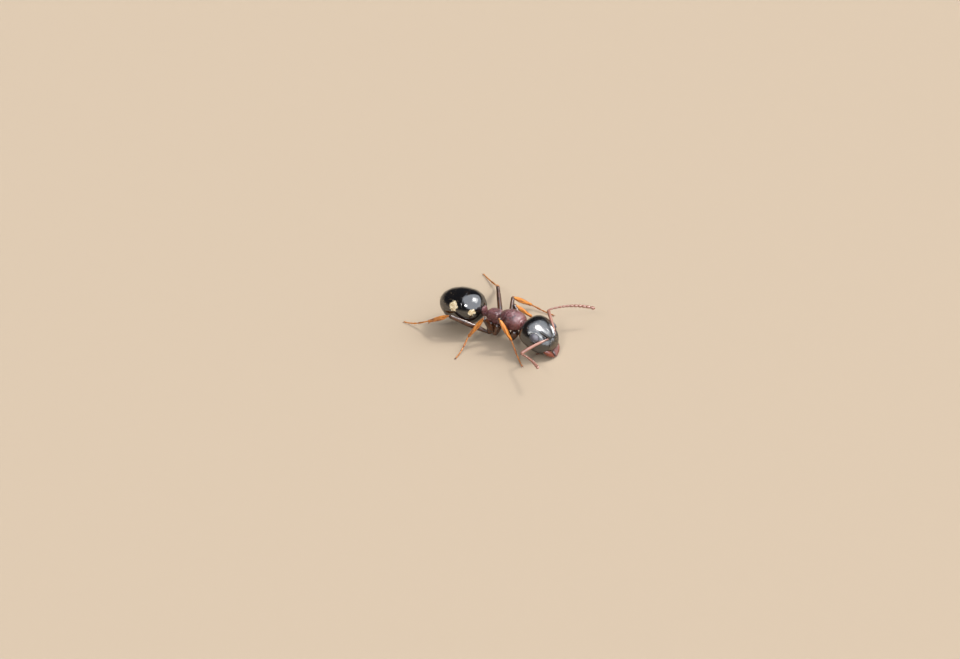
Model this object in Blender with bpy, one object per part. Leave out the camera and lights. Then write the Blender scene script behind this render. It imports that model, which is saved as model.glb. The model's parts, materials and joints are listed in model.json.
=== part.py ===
"""A four-spotted carpenter ant worker, standing, at life size.

The ant is drawn in millimetres in its own frame: +X runs along the trunk towards the head, +Y to the
ant's left, +Z up, with the ground at Z = 0. The meshes become metres when they are made objects. The
row's origin is then the middle of the rectangle of ground that the ant covers.
"""

from math import asin, atan2, cos, degrees, pi, radians, sin, sqrt

import bmesh
import bpy
import numpy as np
from mathutils import Matrix, Vector

MM = 0.001
GAP = 0.024                # clear space left between two neighbouring pieces
LEG_RADIUS = 0.235         # legs and feelers are kept this stout in the solids
SMOOTH_ANGLE = 50

# Head capsule: sizes along its own axes, and where it is held.
HEAD_HALF_LENGTH = 0.87
HEAD_HALF_WIDTH = 0.84
HEAD_HALF_DEPTH = 0.62
HEAD_BLUNT = 2.5
HEAD_TAPER = 0.13
HEAD_SECTION_POWER = 2.2
HEAD_CENTRE = Vector((1.81, 0.0, 0.92))
HEAD_TURN = dict(heading=-1.5, pitch=35, roll=-7.5)

EYE_ALONG = 0.04           # how far in front of the middle of the head the eyes sit
EYE_ANGLE = 36             # how high round the head's section they sit
EYE_HALF_LENGTH = 0.215
EYE_HALF_HEIGHT = 0.165
EYE_HALF_DEPTH = 0.10
EYE_SUNK_SHARE = 0.35      # share of the dome's half depth that lies below the head's surface

SOCKET = (0.46, 0.28, 0.47)     # antenna root in the head's frame, for the left side
MANDIBLE_ROOT = (0.85, 0.22, -0.12)
MANDIBLE_HALF_LENGTH = 0.28
MANDIBLE_HALF_WIDTH = 0.215
MANDIBLE_HALF_DEPTH = 0.17
MANDIBLE_BLUNT = 2.4
MANDIBLE_TAPER = 0.2
MANDIBLE_TURN = dict(heading=-24, pitch=-4)

SCAPE_LENGTH = 1.40
FLAGELLUM_LENGTH = 2.15
FLAGELLUM_JOINTS = 11
FLAGELLUM_RADIUS = 0.19
FLAGELLUM_CLUB = 0.025     # how much stouter the last joint is than the first
FLAGELLUM_SWELL = 0.02     # how far each joint bulges
# The rounded ends beyond the first and last joints: distance out, radius.
FLAGELLUM_START = ((0.9 * LEG_RADIUS, 0.08), (0.5 * LEG_RADIUS, 0.18))
FLAGELLUM_TIP = ((0.14, 0.16), (0.20, 0.06))
# Scape heading and rise, then the flagellum's heading and rise where it starts and where it ends.
ANTENNA_POSE = {
    "left": ((140, 17), (59, 1), (31, -19)),
    "right": ((-113, -7), (-20, 17), (-34, 9)),
}

# Trunk sections from the petiole's root to the neck: x, half width, top, bottom.
TRUNK = (
    (-1.20, 0.13, 1.18, 0.92),
    (-1.10, 0.20, 1.28, 0.84),
    (-0.97, 0.25, 1.37, 0.78),
    (-0.75, 0.27, 1.40, 0.74),
    (-0.50, 0.27, 1.42, 0.72),
    (-0.36, 0.28, 1.40, 0.72),
    (-0.20, 0.33, 1.54, 0.72),
    (0.05, 0.40, 1.66, 0.74),
    (0.40, 0.46, 1.70, 0.77),
    (0.65, 0.44, 1.64, 0.85),
    (0.85, 0.34, 1.52, 0.97),
    (0.97, 0.20, 1.38, 1.10),
)
TRUNK_SECTION_POWER = 2.3
TRUNK_CUTS = (("propodeum", -0.35), ("mesonotum", 0.13), ("pronotum", None))
NECK_FROM = Vector((0.90, 0.0, 1.24))
NECK_TO = Vector((1.24, 0.0, 1.25))
NECK_RADIUS = 0.19

PETIOLE_CENTRE = Vector((-1.36, -0.01, 1.09))
PETIOLE_HALF_THICKNESS = 0.12
PETIOLE_HALF_WIDTH = 0.24
PETIOLE_UP = 0.35
PETIOLE_DOWN = 0.22
PETIOLE_BLUNT = 2.6
PETIOLE_TAPER = 0.15
STALK_HALF_LENGTH = 0.2
STALK_DROP = 0.05
STALK_RADIUS = 0.15

GASTER_CENTRE = Vector((-2.47, -0.17, 1.23))
GASTER_HALF_LENGTH = 1.12
GASTER_HALF_WIDTH = 0.84
GASTER_UP = 0.77
GASTER_DOWN = 0.88
GASTER_HEADING = 8.5
GASTER_BLUNT = 2.15
GASTER_TAPER = 0.10
# Where each ring of the abdomen ends, as a share of the half length from the middle, front first.
GASTER_CUTS = (0.33, -0.22, -0.62, -0.86)

HIPS = {"fore": (0.63, 0.27, 0.86), "mid": (-0.42, 0.26, 0.80), "hind": (-0.84, 0.26, 0.80)}
# Lengths of the coxa, femur, tibia and tarsus of each pair.
LEG_LENGTHS = {
    "fore": (0.48, 1.42, 1.18, 1.36),
    "mid": (0.44, 1.19, 1.34, 1.24),
    "hind": (0.47, 2.00, 1.53, 1.54),
}
# Heading and rise of the coxa, femur and tibia, then the heading of the tarsus, which reaches the ground.
LEG_POSE = {
    ("left", "fore"): ((76, -67), (158, 39), (60, -52), -2),
    ("left", "mid"): ((90, -47), (117, 36), (81, -45), 2),
    ("left", "hind"): ((90, -70), (131.5, 22.3), (135, -35), 155),
    ("right", "fore"): ((-155, -59), (-112, 71), (4, -63), -31),
    ("right", "mid"): ((-116.5, -59.5), (-104.5, 69.4), (-156, -51), -84),
    ("right", "hind"): ((-90, -72.5), (-150.5, 28.5), (-179, -30), -177),
}
LEG_PIECES = ("coxa", "femur", "tibia", "tarsus")
# Segments that pass close by segments of the next leg on their own side, and give way to them.
CROSSINGS = {
    ("left", "fore", "femur"): (("mid", "coxa"),),
    ("left", "fore", "tibia"): (("mid", "femur"),),
    ("left", "hind", "coxa"): (("mid", "coxa"),),
    ("right", "fore", "femur"): (("mid", "coxa"),),
    ("right", "hind", "coxa"): (("mid", "coxa"), ("mid", "femur")),
    ("right", "hind", "femur"): (("mid", "tibia"),),
}
TOE_LIFT = 0.13            # height of the tarsus tube's axis where its flat rests on the ground
TARSUS_JOINTS = 5
SEGMENT_BELLY = 0.035      # how far a leg segment swells in the middle
JOINT_BELLY = 0.02         # how far a scape or a joint of the tarsus swells
ROUND_END = (0.97, 0.75, 0.4)   # where the loops of a limb's rounded end lie, as shares of its radius

FINISHES = {
    "black_shell": ((0.010, 0.010, 0.011), 0.16),
    "maroon_shell": ((0.085, 0.030, 0.032), 0.42),
    "dark_leg": ((0.050, 0.024, 0.013), 0.38),
    "amber_leg": ((0.42, 0.17, 0.045), 0.40),
    "antenna_brown": ((0.22, 0.085, 0.040), 0.42),
    "mandible_red": ((0.15, 0.040, 0.018), 0.30),
    "eye_grey": ((0.030, 0.028, 0.032), 0.30),
}


def clear_scene():
    for item in list(bpy.data.objects):
        bpy.data.objects.remove(item, do_unlink=True)


def side_sign(side):
    return 1 if side == "left" else -1


def direction(heading, rise):
    """Unit vector that points heading degrees round from +X and rises above the ground."""
    h, r = radians(heading), radians(rise)
    return Vector((cos(r) * cos(h), cos(r) * sin(h), sin(r)))


def frame_at(place, heading=0, pitch=0, roll=0):
    """Matrix of a frame whose +X points along heading and dips by pitch."""
    turn = Matrix.Rotation(radians(heading), 4, "Z") @ Matrix.Rotation(radians(pitch), 4, "Y")
    return Matrix.Translation(place) @ turn @ Matrix.Rotation(radians(roll), 4, "X")


def face_outwards(body):
    bmesh.ops.recalc_face_normals(body, faces=body.faces)
    if body.calc_volume(signed=True) < 0:
        bmesh.ops.reverse_faces(body, faces=body.faces)
    return body


def fatness(share, blunt, taper):
    """Section size of an egg at a share (-1 to 1) of its half length."""
    return (1 - taper * share) * max(0.0, 1 - abs(share) ** blunt) ** (1 / blunt)


def section_point(angle, half_width, up, down, power):
    """Point on a rounded section that is wide in Y and has its own height above and below."""
    c, s = cos(angle), sin(angle)
    reach = (abs(c) ** power + abs(s) ** power) ** (-1 / power)
    return half_width * reach * c, (up if s > 0 else down) * reach * s


def egg(frame, half_length, half_width, up, down, blunt=2.0, taper=0.0, power=2.0, sides=16, rings=10,
        grow=0.0):
    """Closed rounded body along the frame's X, grown on all sides where it serves as a cutter."""
    body = bmesh.new()
    bmesh.ops.create_uvsphere(body, u_segments=sides, v_segments=rings, radius=1.0)
    for vert in body.verts:
        share = max(-1.0, min(1.0, vert.co.z))
        size = fatness(share, blunt, taper)
        y, z = section_point(atan2(vert.co.y, vert.co.x), half_width + grow, up + grow, down + grow, power)
        vert.co = frame @ Vector((share * (half_length + grow), y * size, z * size))
    return face_outwards(body)


def smooth_rows(rows, count):
    """Rows spread evenly through a table of sections, along a smooth curve through them."""
    table = np.array(rows)
    slope = np.gradient(table, axis=0)
    steps = np.linspace(0, len(rows) - 1, count)
    low = np.minimum(steps.astype(int), len(rows) - 2)
    t = (steps - low)[:, None]
    a, b, m, n = table[low], table[low + 1], slope[low], slope[low + 1]
    return a + m * t + (3 * (b - a) - 2 * m - n) * t**2 + (2 * (a - b) + m + n) * t**3


def trunk_body(sides=20, rings=23, grow=0.0):
    """Loft through the trunk's sections."""
    body = bmesh.new()
    loops = []
    for x, half_width, top, bottom in smooth_rows(TRUNK, rings):
        x += grow if x > 0 else -grow
        middle = (top + bottom) / 2
        half = (top - bottom) / 2 + grow
        loop = []
        for k in range(sides):
            y, z = section_point(2 * pi * k / sides, half_width + grow, half, half, TRUNK_SECTION_POWER)
            loop.append(body.verts.new((x, y, middle + z)))
        loops.append(loop)
    for first, second in zip(loops, loops[1:]):
        for k in range(sides):
            n = (k + 1) % sides
            body.faces.new((first[k], first[n], second[n], second[k]))
    body.faces.new(loops[0])
    body.faces.new(loops[-1])
    return face_outwards(body)


def tube(points, radii, resolution=2):
    """Closed round tube through points, from a bevelled curve with filled caps."""
    curve = bpy.data.curves.new("tube", "CURVE")
    curve.dimensions = "3D"
    curve.bevel_depth = 1.0
    curve.bevel_resolution = resolution
    curve.use_fill_caps = True
    spline = curve.splines.new("POLY")
    spline.points.add(len(points) - 1)
    for point, place, radius in zip(spline.points, points, radii):
        point.co = (*place, 1.0)
        point.radius = radius
    holder = bpy.data.objects.new("tube", curve)
    bpy.context.scene.collection.objects.link(holder)
    solid = bpy.data.meshes.new_from_object(holder.evaluated_get(bpy.context.evaluated_depsgraph_get()))
    body = bmesh.new()
    body.from_mesh(solid)
    bmesh.ops.remove_doubles(body, verts=body.verts, dist=1e-4)
    bpy.data.objects.remove(holder)
    bpy.data.meshes.remove(solid)
    return face_outwards(body)


def limb(start, end, belly, joints=1, resolution=2, grow=0.0):
    """Round-ended limb segment, a little stouter in the middle or swollen once for each small joint."""
    axis = end - start
    length = axis.length
    axis.normalize()
    thin = LEG_RADIUS + grow - belly
    steps = 4 if joints == 1 else 2 * joints
    places = [(-s * thin, thin * sqrt(1 - s * s)) for s in ROUND_END]
    for k in range(steps + 1):
        share = k / steps
        places.append((share * length, thin + belly * abs(sin(pi * joints * share))))
    places += [(length - s, radius) for s, radius in reversed(places[:len(ROUND_END)])]
    return tube([start + axis * s for s, _ in places], [radius for _, radius in places], resolution)


def slice_off(body, place, normal):
    """Cut away what lies beyond a plane and close the cut with a flat face."""
    everything = body.verts[:] + body.edges[:] + body.faces[:]
    cut = bmesh.ops.bisect_plane(
        body, geom=everything, dist=1e-5, plane_co=place, plane_no=normal, clear_outer=True)
    rim = [item for item in cut["geom_cut"] if isinstance(item, bmesh.types.BMEdge)]
    if rim:
        bmesh.ops.holes_fill(body, edges=rim, sides=0)
    return face_outwards(body)


def combine(body, other, operation):
    """Exact Boolean of two bodies. Both are used up and the result is returned."""
    holders = []
    for name, source in (("target", body), ("cutter", other)):
        mesh = bpy.data.meshes.new(name)
        source.to_mesh(mesh)
        source.free()
        holder = bpy.data.objects.new(name, mesh)
        bpy.context.scene.collection.objects.link(holder)
        holders.append(holder)
    modifier = holders[0].modifiers.new("combine", "BOOLEAN")
    modifier.operation = operation
    modifier.solver = "EXACT"
    modifier.object = holders[1]
    graph = bpy.context.evaluated_depsgraph_get()
    solid = bpy.data.meshes.new_from_object(holders[0].evaluated_get(graph))
    result = bmesh.new()
    result.from_mesh(solid)
    bmesh.ops.remove_doubles(result, verts=result.verts, dist=2e-4)
    bmesh.ops.dissolve_degenerate(result, dist=2e-4, edges=result.edges)
    for holder in holders:
        bpy.data.objects.remove(holder)
    return face_outwards(result)


def carve(body, *cutters):
    for cutter in cutters:
        body = combine(body, cutter, "DIFFERENCE")
    return body


def head_frame():
    return frame_at(HEAD_CENTRE, **HEAD_TURN)


def head_body(grow=0.0):
    return egg(head_frame(), HEAD_HALF_LENGTH, HEAD_HALF_WIDTH, HEAD_HALF_DEPTH, HEAD_HALF_DEPTH,
               HEAD_BLUNT, HEAD_TAPER, HEAD_SECTION_POWER, 22, 14, grow)


def eye_body(side, grow=0.0):
    """Oval dome set in the side of the head, flush with its surface at the rim."""
    sign = side_sign(side)
    size = fatness(EYE_ALONG / HEAD_HALF_LENGTH, HEAD_BLUNT, HEAD_TAPER)
    angle = radians(EYE_ANGLE)
    half_depth = HEAD_HALF_DEPTH * size
    y, z = section_point(angle, HEAD_HALF_WIDTH * size, half_depth, half_depth, HEAD_SECTION_POWER)
    tilt = degrees(atan2(z / HEAD_HALF_DEPTH**2, y / HEAD_HALF_WIDTH**2))
    seat = head_frame() @ frame_at(Vector((EYE_ALONG, sign * y, z)), roll=sign * tilt)
    sunk = seat @ Matrix.Translation((0, -sign * EYE_HALF_DEPTH * EYE_SUNK_SHARE, 0))
    return egg(sunk, EYE_HALF_LENGTH, EYE_HALF_DEPTH, EYE_HALF_HEIGHT, EYE_HALF_HEIGHT,
               sides=12, rings=8, grow=grow)


def mandible_body(side):
    sign = side_sign(side)
    x, y, z = MANDIBLE_ROOT
    place = frame_at(Vector((x, sign * y, z)), heading=sign * MANDIBLE_TURN["heading"],
                     pitch=MANDIBLE_TURN["pitch"])
    body = egg(head_frame() @ place, MANDIBLE_HALF_LENGTH, MANDIBLE_HALF_WIDTH, MANDIBLE_HALF_DEPTH,
               MANDIBLE_HALF_DEPTH, MANDIBLE_BLUNT, MANDIBLE_TAPER, sides=12, rings=8)
    across = head_frame().to_3x3() @ Vector((0, -sign, 0))
    slice_off(body, HEAD_CENTRE - across * GAP / 2, across)
    return carve(body, head_body(GAP))


def antenna_bodies(side):
    """Scape and flagellum of one feeler, parted at the elbow."""
    (scape_heading, scape_rise), first, last = ANTENNA_POSE[side]
    x, y, z = SOCKET
    root = head_frame() @ Vector((x, side_sign(side) * y, z))
    along = direction(scape_heading, scape_rise)
    elbow = root + along * SCAPE_LENGTH
    start, end = direction(*first), direction(*last)
    steps = 2 * FLAGELLUM_JOINTS
    points = [elbow - start * back for back, _ in FLAGELLUM_START]
    radii = [radius for _, radius in FLAGELLUM_START]
    place = elbow.copy()
    for k in range(steps + 1):
        share = k / steps
        points.append(place.copy())
        swell = FLAGELLUM_SWELL * abs(sin(pi * FLAGELLUM_JOINTS * share))
        radii.append(FLAGELLUM_RADIUS + FLAGELLUM_CLUB * share + swell)
        place += start.lerp(end, share).normalized() * FLAGELLUM_LENGTH / steps
    points += [points[-1] + end * out for out, _ in FLAGELLUM_TIP]
    radii += [radius for _, radius in FLAGELLUM_TIP]
    corner = (along + start).normalized()
    scape = slice_off(limb(root, elbow, JOINT_BELLY), elbow - corner * GAP / 2, corner)
    flagellum = slice_off(tube(points, radii), elbow + corner * GAP / 2, -corner)
    return carve(scape, head_body(GAP), eye_body(side, GAP)), flagellum


def leg_joints(side, pair):
    """Hip, trochanter, knee, ankle and toe of one leg."""
    coxa, femur, tibia, tarsus_heading = LEG_POSE[side, pair]
    lengths = LEG_LENGTHS[pair]
    x, y, z = HIPS[pair]
    joints = [Vector((x, side_sign(side) * y, z))]
    for pose, length in zip((coxa, femur, tibia), lengths):
        joints.append(joints[-1] + direction(*pose) * length)
    fall = -degrees(asin(joints[-1].z / lengths[3]))
    joints.append(joints[-1] + direction(tarsus_heading, fall) * lengths[3])
    return joints


def leg_segment(side, pair, piece, grow=0.0):
    """One whole segment of a leg before its joints are cut, and the two ends of its axis."""
    joints = leg_joints(side, pair)
    joints[-1] += Vector((0, 0, TOE_LIFT))
    k = LEG_PIECES.index(piece)
    start, end = joints[k], joints[k + 1]
    if piece == "tarsus":
        return limb(start, end, JOINT_BELLY, TARSUS_JOINTS, 2, grow), start, end
    return limb(start, end, SEGMENT_BELLY, 1, 3, grow), start, end


def leg_bodies(side, pair):
    """Coxa, femur, tibia and tarsus, each parted from the next by a thin cut across the joint."""
    segments = {piece: leg_segment(side, pair, piece) for piece in LEG_PIECES}
    for inner, outer in zip(LEG_PIECES, LEG_PIECES[1:]):
        solid, start, joint = segments[inner]
        follower, _, end = segments[outer]
        corner = ((joint - start).normalized() + (end - joint).normalized()).normalized()
        slice_off(solid, joint - corner * GAP / 2, corner)
        slice_off(follower, joint + corner * GAP / 2, -corner)
    bodies = {piece: segment[0] for piece, segment in segments.items()}
    for piece in ("coxa", "femur"):
        bodies[piece] = carve(bodies[piece], trunk_body(grow=GAP))
    if (side, pair) == ("right", "hind"):
        bodies["femur"] = carve(bodies["femur"], gaster_body(GAP))
    for piece in ("tibia", "tarsus"):
        slice_off(bodies[piece], Vector((0, 0, 0)), Vector((0, 0, -1)))
    for (crossed_side, crossed_pair, piece), neighbours in CROSSINGS.items():
        if (crossed_side, crossed_pair) == (side, pair):
            bodies[piece] = carve(bodies[piece], *(leg_segment(side, *name, GAP)[0] for name in neighbours))
    return bodies


def gaster_frame():
    return frame_at(GASTER_CENTRE, heading=GASTER_HEADING)


def gaster_body(grow=0.0):
    return egg(gaster_frame(), GASTER_HALF_LENGTH, GASTER_HALF_WIDTH, GASTER_UP, GASTER_DOWN,
               GASTER_BLUNT, -GASTER_TAPER, sides=22, rings=18, grow=grow)


def gaster_rings():
    """The gaster parted into its rings, named from the front."""
    frame = gaster_frame()
    along = frame.to_3x3() @ Vector((1, 0, 0))
    edges = [None, *GASTER_CUTS, None]
    rings = {}
    for k, (front, back) in enumerate(zip(edges, edges[1:]), start=1):
        body = gaster_body()
        if front is not None:
            slice_off(body, frame @ Vector((front * GASTER_HALF_LENGTH - GAP / 2, 0, 0)), along)
        if back is not None:
            slice_off(body, frame @ Vector((back * GASTER_HALF_LENGTH + GAP / 2, 0, 0)), -along)
        rings[f"gaster_{k}"] = body
    return rings


def trunk_plates():
    """The trunk parted into its three plates."""
    plates = {}
    behind = None
    for name, front in TRUNK_CUTS:
        body = trunk_body()
        if behind is not None:
            slice_off(body, Vector((behind + GAP / 2, 0, 0)), Vector((-1, 0, 0)))
        if front is not None:
            slice_off(body, Vector((front - GAP / 2, 0, 0)), Vector((1, 0, 0)))
        plates[name] = body
        behind = front
    plates["pronotum"] = carve(plates["pronotum"], head_body(GAP))
    return plates


def petiole_body():
    """Upright scale of the waist, clear of the trunk and of the gaster."""
    upright = frame_at(PETIOLE_CENTRE, pitch=-90)
    scale = egg(upright, (PETIOLE_UP + PETIOLE_DOWN) / 2, PETIOLE_HALF_WIDTH, PETIOLE_HALF_THICKNESS,
                PETIOLE_HALF_THICKNESS, PETIOLE_BLUNT, PETIOLE_TAPER, sides=16, rings=10)
    stations = [PETIOLE_CENTRE + Vector((s * STALK_HALF_LENGTH, 0, -STALK_DROP)) for s in (-1, 0, 1)]
    stalk = tube(stations, [STALK_RADIUS] * len(stations))
    return carve(combine(scale, stalk, "UNION"), trunk_body(grow=GAP), gaster_body(GAP))


def neck_body():
    points = [NECK_FROM.lerp(NECK_TO, share) for share in (0, 0.5, 1)]
    neck = tube(points, [NECK_RADIUS] * 3, 2)
    return carve(neck, trunk_body(grow=GAP), head_body(GAP))


def build_ant():
    """Every sub-part of the ant as name: (body in millimetres, finish)."""
    parts = {"head": (carve(head_body(), eye_body("left", GAP), eye_body("right", GAP)), "black_shell")}
    parts["neck"] = (neck_body(), "maroon_shell")
    parts["petiole"] = (petiole_body(), "maroon_shell")
    for name, body in trunk_plates().items():
        parts[name] = (body, "maroon_shell")
    for name, body in gaster_rings().items():
        parts[name] = (body, "black_shell")
    for side in ("left", "right"):
        parts[f"eye_{side}"] = (eye_body(side), "eye_grey")
        parts[f"mandible_{side}"] = (mandible_body(side), "mandible_red")
        scape, flagellum = antenna_bodies(side)
        parts[f"antenna_{side}_scape"] = (scape, "antenna_brown")
        parts[f"antenna_{side}_flagellum"] = (flagellum, "antenna_brown")
        for pair in HIPS:
            for piece, body in leg_bodies(side, pair).items():
                finish = "dark_leg" if piece in ("coxa", "femur") else "amber_leg"
                parts[f"leg_{side}_{pair}_{piece}"] = (body, finish)
    return parts


def make_finishes():
    finishes = {}
    for name, (colour, roughness) in FINISHES.items():
        material = bpy.data.materials.new(name)
        material.use_nodes = True
        shader = material.node_tree.nodes["Principled BSDF"]
        shader.inputs["Base Color"].default_value = (*colour, 1.0)
        shader.inputs["Roughness"].default_value = roughness
        shader.inputs["Metallic"].default_value = 0.0
        finishes[name] = material
    return finishes


def publish(parts):
    """Turn the bodies into named objects in metres round the row's origin."""
    corners = np.array([vert.co[:] for body, _ in parts.values() for vert in body.verts])
    low, high = corners.min(axis=0), corners.max(axis=0)
    origin = Vector(((low[0] + high[0]) / 2, (low[1] + high[1]) / 2, low[2]))
    finishes = make_finishes()
    collection = bpy.data.collections.new("carpenter_ant")
    bpy.context.scene.collection.children.link(collection)
    root = bpy.data.objects.new("ant_origin", None)
    collection.objects.link(root)
    for name, (body, finish) in parts.items():
        places = [vert.co for vert in body.verts]
        centre = sum(places, Vector()) / len(places)
        bmesh.ops.translate(body, vec=-centre, verts=body.verts)
        bmesh.ops.scale(body, vec=(MM, MM, MM), verts=body.verts)
        mesh = bpy.data.meshes.new(name)
        body.to_mesh(mesh)
        body.free()
        mesh.materials.append(finishes[finish])
        mesh.shade_smooth()
        mesh.set_sharp_from_angle(angle=radians(SMOOTH_ANGLE))
        piece = bpy.data.objects.new(name, mesh)
        piece.location = (centre - origin) * MM
        piece.parent = root
        collection.objects.link(piece)


clear_scene()
publish(build_ant())
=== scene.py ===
import json
import random
from math import asin, cos, degrees, pi, radians, sin

import bpy
import numpy as np
from mathutils import Matrix, Vector

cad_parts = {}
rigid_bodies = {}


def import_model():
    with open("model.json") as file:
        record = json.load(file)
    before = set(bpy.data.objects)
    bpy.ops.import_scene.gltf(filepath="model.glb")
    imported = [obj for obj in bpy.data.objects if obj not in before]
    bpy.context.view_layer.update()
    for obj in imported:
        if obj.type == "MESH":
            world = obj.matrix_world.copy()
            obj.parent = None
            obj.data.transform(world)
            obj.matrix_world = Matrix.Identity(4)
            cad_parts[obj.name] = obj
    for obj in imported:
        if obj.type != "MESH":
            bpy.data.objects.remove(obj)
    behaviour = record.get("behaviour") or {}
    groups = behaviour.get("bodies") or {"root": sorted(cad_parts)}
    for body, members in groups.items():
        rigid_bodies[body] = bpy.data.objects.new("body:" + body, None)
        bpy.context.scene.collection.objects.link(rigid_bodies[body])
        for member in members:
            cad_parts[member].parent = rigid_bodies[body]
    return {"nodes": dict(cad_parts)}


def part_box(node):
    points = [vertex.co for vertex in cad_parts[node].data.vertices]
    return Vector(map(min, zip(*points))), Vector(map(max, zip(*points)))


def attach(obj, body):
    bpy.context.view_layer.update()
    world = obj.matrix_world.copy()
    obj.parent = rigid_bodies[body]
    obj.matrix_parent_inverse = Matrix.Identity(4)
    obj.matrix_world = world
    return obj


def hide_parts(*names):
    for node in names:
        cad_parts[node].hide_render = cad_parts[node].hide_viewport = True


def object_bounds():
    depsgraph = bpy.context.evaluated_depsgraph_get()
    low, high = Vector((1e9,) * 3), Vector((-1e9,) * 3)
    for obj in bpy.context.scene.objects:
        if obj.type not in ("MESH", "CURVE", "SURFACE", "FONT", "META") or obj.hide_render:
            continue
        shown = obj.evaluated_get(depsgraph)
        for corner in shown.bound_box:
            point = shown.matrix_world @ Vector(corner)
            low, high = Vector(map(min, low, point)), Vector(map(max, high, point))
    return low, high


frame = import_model()
cadLow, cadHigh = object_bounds()
millimetre = 0.001      # pieces are modelled in millimetres and brought to metres at the end
sides = {"left": 1, "right": -1}
trunkEnds = (-1.2, 0.97)       # rear and front of the trunk's plates, from the body's origin
print("frame loaded:", len(frame["nodes"]), "nodes")


def boxInMm(node):
    low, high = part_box(node)
    return low / millimetre, high / millimetre


# The ant's own axes: +X along the trunk to the head, +Y to its left, +Z up from the ground.
rearLow = boxInMm("propodeum")[0]
backLow, backHigh = boxInMm("mesonotum")
bodyOrigin = Vector((rearLow.x - trunkEnds[0], (backLow.y + backHigh.y) / 2, 0))


def ease(value, low, high):     # 0 at low, 1 at high, smooth between
    t = np.clip((value - low) / (high - low), 0, 1)
    return t * t * (3 - 2 * t)


def between(value, a, b, c, d):     # rises from a to b and falls from c to d
    return ease(value, a, b) * (1 - ease(value, c, d))


def hump(value, width):     # 1 at zero, dying away over width
    return np.exp(-(value / width) ** 2)


def mound(x, y, at, size):      # 1 at a point, dying away over a size each way
    return np.exp(-((x - at[0]) / size[0]) ** 2 - ((y - at[1]) / size[1]) ** 2)


def smoothRow(table, at):       # columns of a table read along a smooth curve
    table = np.array(table, float)
    x, y = table[:, 0], table[:, 1:]
    slope = np.gradient(y, x, axis=0)
    at = np.clip(np.asarray(at, float), x[0], x[-1])
    k = np.clip(np.searchsorted(x, at) - 1, 0, len(x) - 2)
    w = (x[k + 1] - x[k])[:, None]
    t = (at - x[k])[:, None] / w
    a, b, m, n = y[k], y[k + 1], slope[k] * w, slope[k + 1] * w
    return a + m * t + (3 * (b - a) - 2 * m - n) * t ** 2 + (2 * (a - b) + m + n) * t ** 3


def sectionPoint(angle, halfWidth, up, down, power):        # a rounded cross-section; power makes it boxy
    c, s = np.cos(angle), np.sin(angle)
    reach = (np.abs(c) ** power + np.abs(s) ** power) ** (-1 / power)
    return halfWidth * reach * c, np.where(s > 0, up, down) * reach * s


def fatness(share, blunt, taper):       # the size of the section along an egg shape
    return (1 - taper * share) * np.maximum(0, 1 - np.abs(share) ** blunt) ** (1 / blunt)


def roundEnds(share, start, end):       # closes a limb's ends like a dome
    first = np.sqrt(np.clip(1 - (1 - np.clip(share / start, 0, 1)) ** 2, 0, 1))
    last = np.sqrt(np.clip(1 - (1 - np.clip((1 - share) / end, 0, 1)) ** 2, 0, 1))
    return first * last


def begin(name, primitive, **settings):
    bpy.ops.object.select_all(action="DESELECT")
    primitive(**settings)
    piece = bpy.context.active_object
    piece.name = piece.data.name = name
    return piece


def ball(name, segments, rings, radius=1.0):
    return begin(name, bpy.ops.mesh.primitive_uv_sphere_add, segments=segments, ring_count=rings,
                 radius=radius)


def only(piece):
    bpy.ops.object.select_all(action="DESELECT")
    piece.select_set(True)
    bpy.context.view_layer.objects.active = piece


def edit(piece, *steps):        # edit-mode operators on the whole piece, one after another
    only(piece)
    bpy.ops.object.mode_set(mode="EDIT")
    bpy.ops.mesh.select_all(action="SELECT")
    for operator, settings in steps:
        operator(**settings)
    bpy.ops.object.mode_set(mode="OBJECT")


def corners(piece, what="co"):
    flat = np.empty(len(piece.data.vertices) * 3)
    piece.data.vertices.foreach_get(what, flat)
    return flat.reshape(-1, 3)


def mould(piece, shape):        # moves every corner by a function of where it is
    piece.data.vertices.foreach_set("co", np.ascontiguousarray(shape(corners(piece))).ravel())
    piece.data.update()


def relief(piece, height):      # raises or sinks the surface along its normals
    mould(piece, lambda co: co + corners(piece, "normal") * height(co)[:, None])


def move(piece, matrix):
    piece.data.transform(matrix)
    piece.data.update()


def copyOf(piece, name):
    only(piece)
    bpy.ops.object.duplicate(linked=False)
    copy = bpy.context.active_object
    copy.name = copy.data.name = name
    return copy


def join(name, pieces):
    only(pieces[0])
    for piece in pieces:
        piece.select_set(True)
    bpy.ops.object.join()
    pieces[0].name = pieces[0].data.name = name
    return pieces[0]


def frameAt(place, heading=0, pitch=0, roll=0):
    turn = Matrix.Rotation(radians(heading), 4, "Z") @ Matrix.Rotation(radians(pitch), 4, "Y")
    return Matrix.Translation(place) @ turn @ Matrix.Rotation(radians(roll), 4, "X")


def frameAlong(start, end, upward=(0, 0, 1)):       # X along a limb, Z on its upper side
    x = (end - start).normalized()
    y = Vector(upward).cross(x).normalized()
    return Matrix.Translation(start) @ Matrix((x, y, x.cross(y))).transposed().to_4x4()


def bearing(heading, rise):
    h, r = radians(heading), radians(rise)
    return Vector((cos(r) * cos(h), cos(r) * sin(h), sin(r)))


def settle(piece, look, slotName, *nodes):      # to its place in metres, finished and tied to the frame
    only(piece)
    piece.matrix_world = Matrix.Scale(millimetre, 4) @ Matrix.Translation(bodyOrigin)
    bpy.ops.object.transform_apply(location=True, rotation=True, scale=True)
    edit(piece, (bpy.ops.mesh.normals_make_consistent, dict(inside=False)))
    bpy.ops.object.shade_smooth()
    piece.data.materials.clear()
    piece.data.materials.append(look)
    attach(piece, "root")
    if nodes:
        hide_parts(*nodes)


def mark(piece, name, values):      # a number for each corner, read by the piece's finish
    layer = piece.data.attributes.new(name, "FLOAT", "POINT")
    layer.data.foreach_set("value", np.full(len(layer.data), values, np.float32))


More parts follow.
